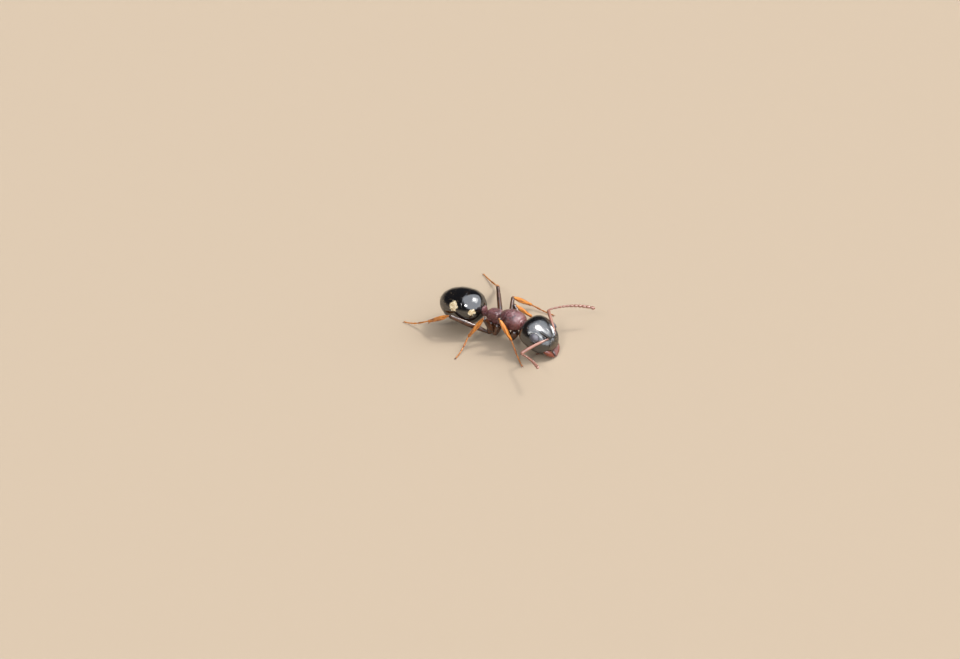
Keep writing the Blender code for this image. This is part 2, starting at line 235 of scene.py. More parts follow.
def markGrain(piece):       # each corner's place before the piece is posed: the finish's streaks follow it
    layer = piece.data.attributes.new("grain", "FLOAT_VECTOR", "POINT")
    layer.data.foreach_set("vector", corners(piece).astype(np.float32).ravel())


def limbPiece(name, length, table, caps=(0.1, 0.1), squash=1.0, bow=0.0, segments=28, rings=48):
    piece = ball(name, segments, rings)     # table: share of the length, radius, lift of the middle line

    def shape(co):
        share = (1 - co[:, 2]) / 2
        around = np.arctan2(co[:, 1], co[:, 0])
        radius, lift = smoothRow(table, share).T
        radius = radius * roundEnds(share, *caps)
        return np.c_[share * length, radius * squash * np.cos(around),
                     radius * np.sin(around) + lift + bow * 4 * share * (1 - share)]

    mould(piece, shape)
    markGrain(piece)
    return piece


def scaled(table, radius):
    return [(share, thick * radius, lift * radius) for share, thick, lift in table]


class Wire:     # a shader socket; sums on it add Math nodes
    def __init__(self, look, socket):
        self.look, self.socket = look, socket

    def calc(operation, turned=False):
        def result(self, other):
            terms = (other, self) if turned else (self, other)
            return self.look.add("ShaderNodeMath", {"operation": operation}, terms)
        return result

    __add__, __radd__ = calc("ADD"), calc("ADD", True)
    __sub__, __rsub__ = calc("SUBTRACT"), calc("SUBTRACT", True)
    __mul__, __rmul__ = calc("MULTIPLY"), calc("MULTIPLY", True)


class Look:     # one material and the nodes that feed it
    def __init__(self, name, **sockets):
        self.material = bpy.data.materials.new(name)
        self.material.use_nodes = True
        self.tree = self.material.node_tree
        self.shader = self.tree.nodes["Principled BSDF"]
        for key, value in sockets.items():
            self.shader.inputs[key.replace("_", " ")].default_value = value

    def add(self, kind, settings=None, inputs=(), output=0):
        node = self.tree.nodes.new(kind)
        for key, value in (settings or {}).items():
            setattr(node, key, value)
        pairs = inputs.items() if isinstance(inputs, dict) else enumerate(inputs)
        for key, value in pairs:
            self.feed(node.inputs[key], value)
        return Wire(self, node.outputs[output])

    def feed(self, socket, value):
        if isinstance(value, Wire):
            self.tree.links.new(value.socket, socket)
        elif socket.type == "RGBA" and len(value) == 3:
            socket.default_value = (*value, 1)
        else:
            socket.default_value = value

    def place(self):        # the piece's own place, in millimetres
        spot = self.add("ShaderNodeTexCoord", output=3)
        return self.add("ShaderNodeMapping", inputs={0: spot, 3: (1 / millimetre,) * 3})

    def noise(self, where, size, detail=3, rough=0.55):
        return self.add("ShaderNodeTexNoise", {}, {"Vector": where, "Scale": 1 / size, "Detail": detail,
                                                   "Roughness": rough})

    def cells(self, where, size, feature="F1", random=1.0):
        return self.add("ShaderNodeTexVoronoi", {"feature": feature},
                        {"Vector": where, "Scale": 1 / size, "Randomness": random})

    def fade(self, value, low, high):
        return self.add("ShaderNodeMapRange", {"interpolation_type": "SMOOTHSTEP"},
                        {"Value": value, "From Min": low, "From Max": high})

    def mix(self, factor, first, second):
        return self.add("ShaderNodeMix", {"data_type": "RGBA"}, {0: factor, 6: first, 7: second}, 2)

    def read(self, name, output=2):     # one of the piece's marks: output 2 is a number, 1 a place
        return self.add("ShaderNodeAttribute", {"attribute_name": name}, output=output)

    def raised(self, height, depth, before=None):       # bump, with its depth in millimetres
        inputs = {"Height": height, "Distance": depth * millimetre}
        if before is not None:
            inputs["Normal"] = before
        return self.add("ShaderNodeBump", {}, inputs)

    def finish(self, **wires):
        for key, value in wires.items():
            self.feed(self.shader.inputs[key.replace("_", " ")], value)
        return self.material


# Colours are linear; "Size" is a pattern's size and "Depth" its relief, both in millimetres.
finishes = {
    "blackShell": dict(colour=(0.0016, 0.0016, 0.002), brown=(0.009, 0.005, 0.003),
                       margin=(0.055, 0.028, 0.01), rough=0.035, uneven=0.05, ior=2.05, brownSize=0.35,
                       waveSize=0.095, grainSize=0.06),
    "creamSpot": dict(colour=(0.97, 0.9, 0.68), rim=(0.42, 0.28, 0.11), fray=1.5, fraySize=0.1,
                      dappleSize=0.042),
    # "dark" serves both the random darker patches and the painted shade in the net's grooves
    "maroonShell": dict(colour=(0.19, 0.057, 0.06), dark=(0.026, 0.008, 0.011), red=(0.22, 0.04, 0.034),
                        rough=0.12, uneven=0.1, ior=1.95, patchSize=0.22, netSize=0.03, netDepth=0.0042,
                        waveSize=0.11, waveDepth=0.007, fineSize=0.02, fineDepth=0.001),
    "darkLeg": dict(colour=(0.078, 0.026, 0.009), dark=(0.01, 0.004, 0.0026), rough=0.1, grainDepth=0.0004,
                    blotch=0.8, ior=1.66),
    "amberLeg": dict(colour=(0.66, 0.235, 0.034), dark=(0.17, 0.04, 0.008), rough=0.2, grainDepth=0.0012,
                     blotch=0.85, ior=1.62),
    "antennaBrown": dict(colour=(0.31, 0.132, 0.088), dark=(0.12, 0.042, 0.026), rough=0.2, grainDepth=0.0008,
                         blotch=0.4, ior=1.9),
    "mandibleRed": dict(colour=(0.17, 0.032, 0.013), dark=(0.012, 0.003, 0.002), rough=0.07,
                        grainDepth=0.0004, blotch=0.35, ior=1.68),
    "limbGrain": dict(stretch=(0.22, 1, 1), streakSize=0.075, cellSize=0.012, uneven=0.1),
    # the eye's rim colour is painted shade round the edge of the dome
    "eyeGrey": dict(colour=(0.058, 0.052, 0.064), light=(0.095, 0.086, 0.104), rim=(0.008, 0.006, 0.01),
                    rough=0.3, ior=1.7, tintSize=0.05),
    "setaPale": dict(colour=(0.36, 0.25, 0.13), darker=0.62, rough=0.4, ior=1.5, tintSize=0.05,
                     grainSize=0.03),
}


def blackShellLook(name, netSize, netDepth, waveDepth, spots=False):
    values = finishes["blackShell"]
    look = Look(name, IOR=values["ior"])
    where = look.place()
    net = look.fade(look.cells(where, netSize, "DISTANCE_TO_EDGE", 0.85), 0.0, 0.22)
    grain = look.noise(where, values["grainSize"], 4)
    wave = look.noise(where, values["waveSize"], 1.5, 0.45)
    tint = look.fade(look.noise(where, values["brownSize"], 2), 0.45, 0.8)
    colour = look.mix(tint, values["colour"], values["brown"])
    colour = look.mix(look.read("margin"), colour, values["margin"])
    rough = values["rough"] + values["uneven"] * grain
    if spots:
        cream = finishes["creamSpot"]
        patch = look.read("spot") + cream["fray"] * (look.noise(where, cream["fraySize"], 3, 0.5) - 0.5)
        dapple = look.fade(look.noise(where, cream["dappleSize"], 2.5, 0.55), 0.4, 0.66)
        paint = look.mix(dapple, cream["rim"], cream["colour"])
        colour = look.mix(look.fade(patch, 0.46, 0.56), colour, paint)
    bump = look.raised(net, netDepth, look.raised(wave, waveDepth))
    return look.finish(Base_Color=colour, Roughness=rough, Normal=bump)


def maroonShellLook():
    values = finishes["maroonShell"]
    look = Look("maroonShell", IOR=values["ior"])
    where = look.place()
    net = look.fade(look.cells(where, values["netSize"], "DISTANCE_TO_EDGE", 0.8), 0.0, 0.26)
    fine = look.noise(where, values["fineSize"], 3)
    patches = 0.7 * look.fade(look.noise(where, values["patchSize"], 3, 0.6), 0.44, 0.7)
    colour = look.mix(patches, values["colour"], values["dark"])
    colour = look.mix(look.read("redder"), colour, values["red"])
    colour = look.mix(0.55 - 0.55 * net, colour, values["dark"])        # painted shade: the net's grooves are coloured darker
    bump = look.raised(look.noise(where, values["waveSize"], 2, 0.5), values["waveDepth"])
    bump = look.raised(net, values["netDepth"], bump)
    bump = look.raised(fine, values["fineDepth"], bump)
    return look.finish(Base_Color=colour, Roughness=values["rough"] + values["uneven"] * fine, Normal=bump)


def limbLook(name):     # streaks run along the limb; "shade" darkens chosen places
    values, grain = finishes[name], finishes["limbGrain"]
    look = Look(name, IOR=values["ior"])
    along = look.add("ShaderNodeMapping", inputs={0: look.read("grain", 1), 3: grain["stretch"]})
    streak = look.noise(along, grain["streakSize"], 4, 0.6)
    cell = look.cells(along, grain["cellSize"])
    blotch = look.fade(streak, 0.4, 0.62) * values["blotch"]
    colour = look.mix(blotch, values["colour"], values["dark"])
    colour = look.mix(look.read("shade"), colour, values["dark"])
    bump = look.raised(streak, 1.4 * values["grainDepth"], look.raised(cell, values["grainDepth"]))
    return look.finish(Base_Color=colour, Roughness=values["rough"] + grain["uneven"] * streak, Normal=bump)


def eyeLook():
    values = finishes["eyeGrey"]
    look = Look("eyeGrey", IOR=values["ior"])
    tint = look.fade(look.noise(look.place(), values["tintSize"], 2), 0.4, 0.7)
    colour = look.mix(tint, values["colour"], values["light"])
    # painted shade: the eye darkens towards its edge, where the dome meets the head
    colour = look.mix(look.read("rim"), colour, values["rim"])
    return look.finish(Base_Color=colour, Roughness=values["rough"] + 0.05 * tint)


def setaLook():
    values = finishes["setaPale"]
    look = Look("setaPale", IOR=values["ior"])
    where = look.place()
    darker = tuple(c * values["darker"] for c in values["colour"])
    tint = look.fade(look.noise(where, values["tintSize"], 2), 0.3, 0.7)
    rough = values["rough"] + 0.1 * look.noise(where, values["grainSize"], 2)
    return look.finish(Base_Color=look.mix(tint, values["colour"], darker), Roughness=rough)


headBlack = blackShellLook("headBlack", netSize=0.017, netDepth=0.0005, waveDepth=0.0075)
gasterBlack = blackShellLook("gasterBlack", netSize=0.024, netDepth=0.0002, waveDepth=0.0012, spots=True)
maroon = maroonShellLook()
darkLeg, amberLeg, antennaBrown, mandibleRed = (
    limbLook(name) for name in ("darkLeg", "amberLeg", "antennaBrown", "mandibleRed"))
eyeGrey = eyeLook()
setaPale = setaLook()
print("finishes made:", len(bpy.data.materials))

head = {
    "centre": (1.81, 0.0, 0.92), "turn": dict(heading=-1.5, pitch=35, roll=-7.5),
    "half": (0.87, 0.84, 0.62), "blunt": 2.5, "taper": 0.13, "power": 2.2,
    "cuts": 83, "fineFrom": (-0.3, -0.55),     # the mesh is finer in front of and above these shares
    "brownFront": (0.8, 0.7, 0.92),        # how brown the front margin is, and where it starts and ends
    "mouth": dict(width=0.5, top=0.1, bottom=-0.4, depth=0.2, lip=0.035, lipAt=0.15, lipSize=0.06),
}
# Relief of the face, in millimetres: x forward from the head's centre, y outward from its middle line.
face = {
    "carina": [(-0.1, 0.385), (0.05, 0.375), (0.18, 0.335), (0.3, 0.285), (0.42, 0.232), (0.54, 0.165)],
    "carinaHeight": 0.042, "carinaRun": (-0.1, 0.14, 0.5, 0.57), "carinaWidths": (0.06, 0.015),
    "fossa": dict(at=(0.43, 0.335), size=(0.15, 0.105)), "fossaDepth": 0.065,
    "besideCarina": dict(at=(0.24, 0.06), size=(0.2, 0.11)), "besideShare": 0.55,
    "socket": (0.46, 0.285), "socketRing": (0.018, 0.07, 0.014), "socketHole": (0.022, 0.04, 0.062),
    "shield": dict(back=0.545, backBend=0.35, side=0.175, spread=0.78, slant=0.79),
    "shieldLift": 0.02, "shieldEdge": (-0.004, 0.026), "shieldSeam": (0.016, 0.012),
    "shieldKeel": (0.016, 0.035),
    # pits beside the shield, the hollow behind it, and the swelling between the feelers: rise, place, size
    "mounds": [(-0.03, (0.565, 0.195), (0.018, 0.018)), (-0.01, (0.505, 0), (0.035, 0.055)),
               (0.012, (0.3, 0), (0.16, 0.13))],
    "seams": {"middle": (0.006, 0.009), "throat": (0.012, 0.012), "jaw": (0.01, 0.013),
              "cheek": (0.01, 0.012)},      # depth, width
    "neckSeat": dict(depth=0.035, low=0.05, edge=(0.1, 0.19)),
}
eye = {
    "along": 0.04, "angle": 36, "half": (0.215, 0.165), "dome": 0.105, "sink": 0.022, "base": 0.03,
    "facets": 5, "facetSize": 0.042, "facetSwell": 0.02, "paintedShadeRim": (0.12, 0.42),
    "ridge": (0.008, 1.14, 0.09), "groove": (0.012, 1.02, 0.04),      # round the eye: height, radius, width
    "seatDepth": 0.06, "seatEdge": (0.78, 0.93),
}
headFrame = frameAt(Vector(head["centre"]), **head["turn"])


def headSize(x):        # how much of the full section the head has there
    return fatness(np.array(x / head["half"][0]), head["blunt"], head["taper"])


def headSurface(co):        # unit ball to the bare head capsule
    long, wide, deep = head["half"]
    share = np.clip(co[:, 0], -1, 1)
    y, z = sectionPoint(np.arctan2(co[:, 2], co[:, 1]), wide, deep, deep, head["power"])
    size = fatness(share, head["blunt"], head["taper"])
    return np.c_[share * long, y * size, z * size]


def headPoint(x, y):        # point on the upper side of the bare capsule
    long, wide, deep = head["half"]
    size, power = headSize(x), head["power"]
    return Vector((x, y, float(deep * size * (1 - (abs(y) / (wide * size)) ** power) ** (1 / power))))


def eyeSeat(sign):
    long, wide, deep = head["half"]
    size = headSize(eye["along"])
    y, z = sectionPoint(np.array(radians(eye["angle"])), wide * size, deep * size, deep * size, head["power"])
    tilt = degrees(np.arctan2(z / deep ** 2, y / wide ** 2))
    return frameAt(Vector((eye["along"], sign * float(y), float(z))), roll=sign * tilt)


def shieldInside(x, y, back, backBend, side, spread, slant):    # millimetres inside the face shield's edge
    return np.minimum(x - back - backBend * y ** 2, (side + spread * (x - back) - np.abs(y)) * slant)


def ringRelief(away, ridge, hole):      # a raised ring round a sunken middle
    rise, radius, width = ridge
    depth, inner, outer = hole
    return rise * hump(away - radius, width) - depth * (1 - ease(away, inner, outer))


def faceHeight(co):
    x, y, z = co.T
    side = np.abs(y)
    upper, below = ease(z, 0.0, 0.12), ease(-z, 0.1, 0.3)
    off = side - smoothRow(face["carina"], x)[:, 0]
    inner, outer = face["carinaWidths"]
    ridge = np.where(off < 0, hump(off, inner), hump(off, outer))
    height = face["carinaHeight"] * between(x, *face["carinaRun"]) * ridge * upper
    hollow = mound(x, side, **face["fossa"]) + face["besideShare"] * mound(x, off, **face["besideCarina"])
    height -= face["fossaDepth"] * hollow * ease(off, 0.0, 0.055) * upper
    fromSocket = np.hypot(x - face["socket"][0], side - face["socket"][1])
    height += upper * ringRelief(fromSocket, face["socketRing"], face["socketHole"])
    edge = shieldInside(x, y, **face["shield"])
    shield = ease(edge, *face["shieldEdge"]) * upper
    seam, seamWidth = face["shieldSeam"]
    keel, keelWidth = face["shieldKeel"]
    height += face["shieldLift"] * shield - seam * hump(edge - face["shieldEdge"][0], seamWidth) * upper
    height += keel * hump(y, keelWidth) * shield * (1 - ease(x, 0.78, 0.86))
    for rise, at, size in face["mounds"]:
        height += rise * mound(x, side, at, size) * upper
    seams = {       # distance from each seam, and where on the head it runs
        "middle": (y, between(x, 0.0, 0.1, 0.44, 0.5) * upper),
        "throat": (y, below * (1 - ease(x, 0.3, 0.45))),
        "jaw": (side - 0.24 - 0.25 * (0.6 - x), below * ease(x, -0.1, 0.1)),
        "cheek": (x - 0.6 - 0.5 * (z + 0.1), (1 - ease(z, 0.1, 0.2)) * ease(side, 0.42, 0.5)),
    }
    for name, (away, run) in seams.items():
        depth, width = face["seams"][name]
        height -= depth * hump(away, width) * run
    neck = face["neckSeat"]
    height -= neck["depth"] * (1 - ease(np.hypot(y, z + neck["low"]), *neck["edge"])) * ease(-x, 0.3, 0.5)
    for sign in sides.values():
        local = np.array(eyeSeat(sign).inverted())
        at = co @ local[:3, :3].T + local[:3, 3]
        ring = np.hypot(at[:, 0] / eye["half"][0], at[:, 2] / eye["half"][1])
        near = ease(at[:, 1] * sign, -0.3, -0.2)
        height += near * ringRelief(ring, eye["ridge"], (eye["seatDepth"], *eye["seatEdge"]))
        depth, radius, width = eye["groove"]
        height -= near * depth * hump(ring - radius, width)
    return height


def openMouth(co, width, top, bottom, depth, lip, lipAt, lipSize):      # sinks the mouth under the shield
    x, y, z = co.T
    middle, half = (top + bottom) / 2, (top - bottom) / 2
    inside = 1 - np.sqrt((np.abs(y) / width) ** 3 + (np.abs(z - middle) / half) ** 3)
    sunk = ease(inside, 0.0, 0.12) * ease(x, 0.35, 0.5)
    over = hump(z - lipAt, lipSize) * (1 - ease(np.abs(y), 0.22, 0.4)) * ease(x, 0.7, 0.8)
    return np.c_[x - depth * sunk + lip * over, y, z]


def makeHead():
    capsule = begin("headCapsule", bpy.ops.mesh.primitive_cube_add, size=2)
    edit(capsule, (bpy.ops.mesh.subdivide, dict(number_cuts=head["cuts"])),
         (bpy.ops.transform.tosphere, dict(value=1.0)), (bpy.ops.mesh.select_mode, dict(type="FACE")),
         (bpy.ops.mesh.select_all, dict(action="DESELECT")))
    places = np.empty(3 * len(capsule.data.polygons))
    capsule.data.polygons.foreach_get("center", places)
    x, y, z = places.reshape(-1, 3).T
    back, below = head["fineFrom"]
    capsule.data.polygons.foreach_set("select", (x > back) & (z > below))
    bpy.ops.object.mode_set(mode="EDIT")
    bpy.ops.mesh.subdivide(number_cuts=1)       # the face is finer than the rest
    bpy.ops.object.mode_set(mode="OBJECT")
    mould(capsule, lambda co: co / np.linalg.norm(co, axis=1)[:, None])
    mould(capsule, headSurface)
    relief(capsule, faceHeight)
    mould(capsule, lambda co: openMouth(co, **head["mouth"]))
    brown, start, end = head["brownFront"]
    mark(capsule, "margin", brown * ease(corners(capsule)[:, 0], start, end))
    move(capsule, headFrame)
    settle(capsule, headBlack, "black_shell", "head")


def makeEye(side):      # a dome of six-sided facets
    sign = sides[side]
    long, tall = eye["half"]
    facets = begin("facets", bpy.ops.mesh.primitive_ico_sphere_add, subdivisions=eye["facets"], radius=1)
    centres = corners(facets).copy()
    bpy.data.objects.remove(facets)
    name, finer = f"eye_{side}_facets", eye["facets"] + 2
    dome = begin(name, bpy.ops.mesh.primitive_ico_sphere_add, subdivisions=finer, radius=1)
    unit = corners(dome)
    lots = np.array_split(unit, 40)     # a few at a time, to spare memory
    nearest = np.concatenate([np.max(lot @ centres.T, axis=1) for lot in lots])
    away = np.sqrt(np.maximum(0, 2 - 2 * nearest)) / eye["facetSize"]
    swell = 1 - eye["facetSwell"] * away ** 2
    mould(dome, lambda co: np.c_[co[:, 0] * long, co[:, 1] * eye["dome"], co[:, 2] * tall] * swell[:, None])
    # painted shade round the eye's edge, where the dome meets the head
    mark(dome, "rim", 1 - ease(unit[:, 1] * sign, *eye["paintedShadeRim"]))
    edit(dome, (bpy.ops.mesh.bisect, dict(plane_co=(0, -sign * eye["base"], 0), plane_no=(0, -sign, 0),
                                          clear_outer=True, use_fill=True)))
    move(dome, headFrame @ eyeSeat(sign) @ Matrix.Translation((0, -sign * eye["sink"], 0)))
    settle(dome, eyeGrey, "eye_grey", f"eye_{side}")


mandible = {
    # outline seen from above, for the left side: forward, outward
    "outline": [(0.6, 0.32), (0.65, 0.465), (0.76, 0.495), (0.88, 0.445), (0.98, 0.34), (1.065, 0.2),
                (1.11, 0.06), (1.105, 0.012), (1.06, 0.04), (1.052, -0.008), (1.01, 0.022),
                (1.000, -0.022), (0.962, 0.012), (0.95, -0.028), (0.915, 0.008), (0.902, -0.026),
                (0.87, 0.012), (0.845, 0.02), (0.8, 0.09), (0.74, 0.15), (0.66, 0.19)],
    "centre": (0.88, 0.22), "height": -0.055, "thick": 0.15, "thin": 0.03, "droop": 0.55, "droopFrom": 0.72,
    "hinge": 0.64, "stretch": 0.15,     # the blade grows longer in front of the hinge
    "overlap": {"left": 0.012, "right": -0.018}, "grooves": 0.004, "grooveTurns": 46,
}
palp = {
    "length": 0.42, "back": -0.3, "down": -0.42, "bend": -0.22, "overlap": 1.04,
    "table": [(0, 0.013, 0), (0.3, 0.019, 0), (0.85, 0.021, 0), (1, 0.015, 0)],
    # root, lean outwards, size, joints
    "maxillaryPalp": ((0.58, 0.22, -0.34), 0.22, 1.0, 6), "labialPalp": ((0.62, 0.07, -0.37), 0.06, 0.6, 4),
}
# the upper lip, then the lobes under the mouth: centre, half sizes
lobes = [((0.7, 0.0, -0.08), (0.12, 0.24, 0.045)), ((0.62, 0.15, -0.31), (0.22, 0.11, 0.07)),
         ((0.62, -0.15, -0.31), (0.22, 0.11, 0.07)), ((0.64, 0.0, -0.33), (0.24, 0.08, 0.08))]


def makeMandible(side):
    outline, middle = np.array(mandible["outline"]), np.array(mandible["centre"])
    closed = np.r_[outline[-2:], outline, outline[:3]]
    steps = np.linspace(0, len(outline), 721)[:-1]
    edge = smoothRow(np.c_[np.arange(len(closed)) - 2.0, closed], steps)
    angle = np.arctan2(*(edge - middle).T[::-1])
    reach = np.linalg.norm(edge - middle, axis=1)
    order = np.argsort(angle)
    piece = ball(f"mandible_{side}_blade", 216, 26)

    def shape(co):
        around = np.arctan2(co[:, 1], co[:, 0])
        far = np.interp(around, angle[order], reach[order], period=2 * pi)
        out = np.linalg.norm(co[:, :2], axis=1)
        x = middle[0] + far * out * np.cos(around)
        y = middle[1] + far * out * np.sin(around)
        x = x + mandible["stretch"] * np.maximum(0, x - mandible["hinge"])
        inward = ease(y, 0.42, 0.02)
        half = mandible["thick"] + (mandible["thin"] - mandible["thick"]) * inward
        lens = np.sign(co[:, 2]) * np.sqrt(np.maximum(0, 1 - out ** 2.4))
        z = mandible["height"] + half * lens + mandible["overlap"][side]
        z -= mandible["droop"] * np.maximum(0, x - mandible["droopFrom"]) ** 2
        z -= 0.1 * np.maximum(0, 0.3 - y) ** 2 / 0.09      # the inner edge hangs lower
        z += mandible["grooves"] * np.sin(mandible["grooveTurns"] * (y + 0.4 * x)) * (1 - out ** 6) * inward
        return np.c_[x, y * sides[side], z]

    mould(piece, shape)
    x, y, z = corners(piece).T
    markGrain(piece)
    teeth = ease(np.abs(y), 0.075, 0.0) * ease(x, 0.8, 0.88)
    mark(piece, "shade", np.maximum(teeth, 0.5 * ease(x, 0.74, 0.66)))
    move(piece, headFrame)
    settle(piece, mandibleRed, "mandible_red", f"mandible_{side}")


def makePalp(side, name):
    (x, y, z), outward, scale, joints = palp[name]
    place = headFrame @ Vector((x, sides[side] * y, z))
    direction = Vector((palp["back"], sides[side] * outward, palp["down"]))
    parts = []
    length = palp["length"] * scale / joints
    for _ in range(joints):
        direction.normalize()
        joint = limbPiece("palpJoint", length * palp["overlap"], palp["table"], (0.12, 0.12),
                          segments=14, rings=14)
        move(joint, frameAlong(place, place + direction) @ Matrix.Diagonal((1, scale, scale, 1)))
        parts.append(joint)
        place = place + direction * length
        direction += Vector((palp["bend"], 0, 0))
    piece = join(f"{name}_{side}", parts)
    mark(piece, "shade", 0)
    settle(piece, mandibleRed, "mandible_red")


def makeLobes():
    parts = []
    for (x, y, z), (long, wide, deep) in lobes:
        lobe = ball("lobe", 32, 20)
        mould(lobe, lambda co: np.c_[x + long * co[:, 0], y + wide * co[:, 1] * (1 - 0.25 * co[:, 0]),
                                     z + deep * co[:, 2] + 0.02 * np.cos(3 * co[:, 1])])
        parts.append(lobe)
    piece = join("mouthLobes", parts)
    markGrain(piece)
    mark(piece, "shade", 0.35)
    move(piece, headFrame)
    settle(piece, mandibleRed, "mandible_red")


feeler = {
    # heading and rise of the scape, then of the whip's first and last joints
    "pose": {"left": ((140, 17), (59, 1), (31, -19)), "right": ((-113, -7), (-20, 17), (-34, 9))},
    "scape": 1.4, "flagellum": 2.15, "solidRoot": (0.46, 0.28, 0.47), "rootSunk": 0.02, "knob": 0.05,
    "bow": 0.045, "overlap": 1.02,
    "scapeTable": [(0, 0.036, 0), (0.05, 0.042, 0), (0.09, 0.039, 0), (0.16, 0.054, 0), (0.45, 0.067, 0),
                   (0.8, 0.076, 0), (0.94, 0.075, 0), (1, 0.058, 0)],
    "shares": (1.25, 1.15, 0.92, 0.92, 0.93, 0.94, 0.95, 0.96, 0.97, 0.98, 1.3),
    "radii": (0.044, 0.047, 0.05, 0.053, 0.056, 0.06, 0.064, 0.067, 0.07, 0.071, 0.068),
    "jointTable": [(0, 0.55, 0), (0.1, 0.62, 0), (0.3, 0.9, 0), (0.8, 1, 0)], "jointEnd": 0.9,
    "tipEnd": 0.45,
}


def makeScape(side, elbow):
    x, y = face["socket"]
    root = headFrame @ (headPoint(x, sides[side] * y) - Vector((0, 0, feeler["rootSunk"])))
    name = f"antenna_{side}_shaft"
    shaft = limbPiece(name, (elbow - root).length, feeler["scapeTable"], (0.03, 0.04), bow=feeler["bow"],
                      segments=32, rings=96)
    mark(shaft, "shade", 0.6 * (1 - ease(corners(shaft)[:, 0], 0.03, 0.25)))
    knob = ball("knob", 24, 16, feeler["knob"])
    mark(knob, "shade", 0.5)
    markGrain(knob)
    scape = join(name, [shaft, knob])
    move(scape, frameAlong(root, elbow))
    settle(scape, antennaBrown, "antenna_brown", f"antenna_{side}_scape")


def makeFlagellum(side, elbow):
    start, end = (bearing(*pose) for pose in feeler["pose"][side][1:])
    whip, total = feeler["flagellum"], sum(feeler["shares"])
    place, gone, parts = elbow.copy(), 0.0, []
    for k, (share, radius) in enumerate(zip(feeler["shares"], feeler["radii"])):
        length = whip * share / total
        along = start.lerp(end, (gone + length / 2) / whip).normalized()
        tip = k == len(feeler["radii"]) - 1
        table = feeler["jointTable"] + [(1, feeler["tipEnd" if tip else "jointEnd"], 0)]
        joint = limbPiece("joint", length * feeler["overlap"], scaled(table, radius),
                          (0.06, 0.5 if tip else 0.08), segments=24, rings=26)
        mark(joint, "shade", 0.55 * (1 - ease(corners(joint)[:, 0] / length, 0.02, 0.3)))
        move(joint, frameAlong(place, place + along))
        parts.append(joint)
        place, gone = place + along * length, gone + length
    settle(join(f"antenna_{side}_lash", parts), antennaBrown, "antenna_brown", f"antenna_{side}_flagellum")


makeHead()
for side, sign in sides.items():
    makeEye(side)
    makeMandible(side)
    x, y, z = feeler["solidRoot"]
    elbow = headFrame @ Vector((x, sign * y, z)) + bearing(*feeler["pose"][side][0]) * feeler["scape"]
    makeScape(side, elbow)
    makeFlagellum(side, elbow)
makeLobes()
for side in sides:
    makePalp(side, "maxillaryPalp")
    makePalp(side, "labialPalp")
print("head, eyes, jaws and feelers made")

# One shape for the whole trunk, parted into plates by two seams.
trunk = {
    # x, half width, top, bottom, boxiness
    "stations": [(-1.2, .13, 1.18, .92, 2.2), (-1.1, .20, 1.28, .84, 2.6), (-.97, .25, 1.37, .78, 3.0),
                 (-.75, .265, 1.4, .74, 3.2), (-.50, .265, 1.42, .72, 3.2), (-.36, .275, 1.385, .72, 2.6),
                 (-.20, .33, 1.54, .72, 2.3), (.05, .40, 1.66, .74, 2.2), (.40, .455, 1.7, .77, 2.2),
                 (.65, .435, 1.64, .85, 2.2), (.85, .335, 1.52, .97, 2.2), (.97, .20, 1.38, 1.1, 2.2)],
    # x of a seam, read from the back (0) round the side (1) to the belly (2)
    "rearSeam": [(0, -.335), (0.5, -.36), (1, -.345), (1.5, -.33), (2, -.32)],
    "frontSeam": [(0, .205), (0.4, .165), (0.8, .09), (1.2, .15), (1.6, .34), (2, .47)],
    "rear": [(0, trunkEnds[0]), (2, trunkEnds[0])], "front": [(0, trunkEnds[1]), (2, trunkEnds[1])],
    "rim": 0.052,
}
# Relief in millimetres; places are (x, z) seen from the side. "flank" is where the side begins.
plates = {
    "propodeum": {
        "edges": ("rear", "rearSeam"), "flank": (0.13, 0.2), "redBelow": (0.5, 1.0, 0.8),
        # furrows on the flank: depth, start, end, width
        "furrows": [(0.018, (-0.36, 1.1), (-1.08, 1.03), 0.015), (0.03, (-1.06, 0.93), (-0.97, 0.985), 0.01),
                    (0.014, (-0.4, 1.32), (-0.55, 0.8), 0.014)],
        # swellings on it: height, place, size
        "swellings": [(0.04, (-0.98, 0.9), 0.085), (0.012, (-0.6, 0.93), 0.13)],
        "spiracle": ((-0.9, 1.215), (0.016, 0.032, 0.012), (0.026, 0.022)),
        # across the back, then along it: height, x or y, width, and the heights over which it fades in
        "across": [(0.01, -0.985, 0.025, (1.25, 1.33))],
        "along": [(0.014, 0.205, 0.035, (1.3, 1.37)), (-0.01, 0.0, 0.09, (1.33, 1.38))],
    },
    "mesonotum": {
        "edges": ("rearSeam", "frontSeam"), "flank": (0.16, 0.26), "redBelow": (0.35, 1.1, 0.8),
        "furrows": [(0.02, (0.26, 1.13), (-0.29, 1.00), 0.015), (0.018, (-0.1, 1.08), (-0.3, 1.36), 0.013)],
        "swellings": [(0.022, (0.1, 0.97), 0.13), (0.014, (-0.08, 1.22), 0.12)],
        "spiracle": ((0.045, 1.3), (0.012, 0.026, 0.01), (0.02, 0.018)),
        "across": [(0.006, -0.215, 0.02, (1.35, 1.45)), (-0.022, -0.3, 0.022, (0.0, 0.1))],
        "along": [(-0.012, 0.215, 0.014, (1.38, 1.45))],
    },
    "pronotum": {
        "edges": ("frontSeam", "front"), "flank": (0.2, 0.32), "redBelow": (0.4, 1.2, 0.9),
        "redFront": (0.75, 0.62, 0.85), "shelf": (0.03, 0.24, 0.06),
        "furrows": [(0.026, (0.3, 0.955), (0.9, 1.13), 0.016)],
        "swellings": [(0.018, (0.55, 1.06), 0.1), (0.016, (0.42, 0.86), 0.11)],
        "across": [(-0.02, 0.885, 0.018, (0.0, 0.1)), (0.01, 0.93, 0.02, (0.0, 0.1)),
                   (0.01, 0.24, 0.03, (1.1, 1.3))],
        "along": [],
    },
}
neckFolds = [(0, 0.1, 0), (0.15, 0.15, 0), (0.35, 0.135, 0), (0.5, 0.15, 0), (0.65, 0.13, 0), (0.8, 0.12, 0),
             (1, 0.09, 0)]
neck = {"length": 0.46, "start": (0.84, 0, 1.235), "towards": (-0.72, 0, -0.05), "redder": 0.4}


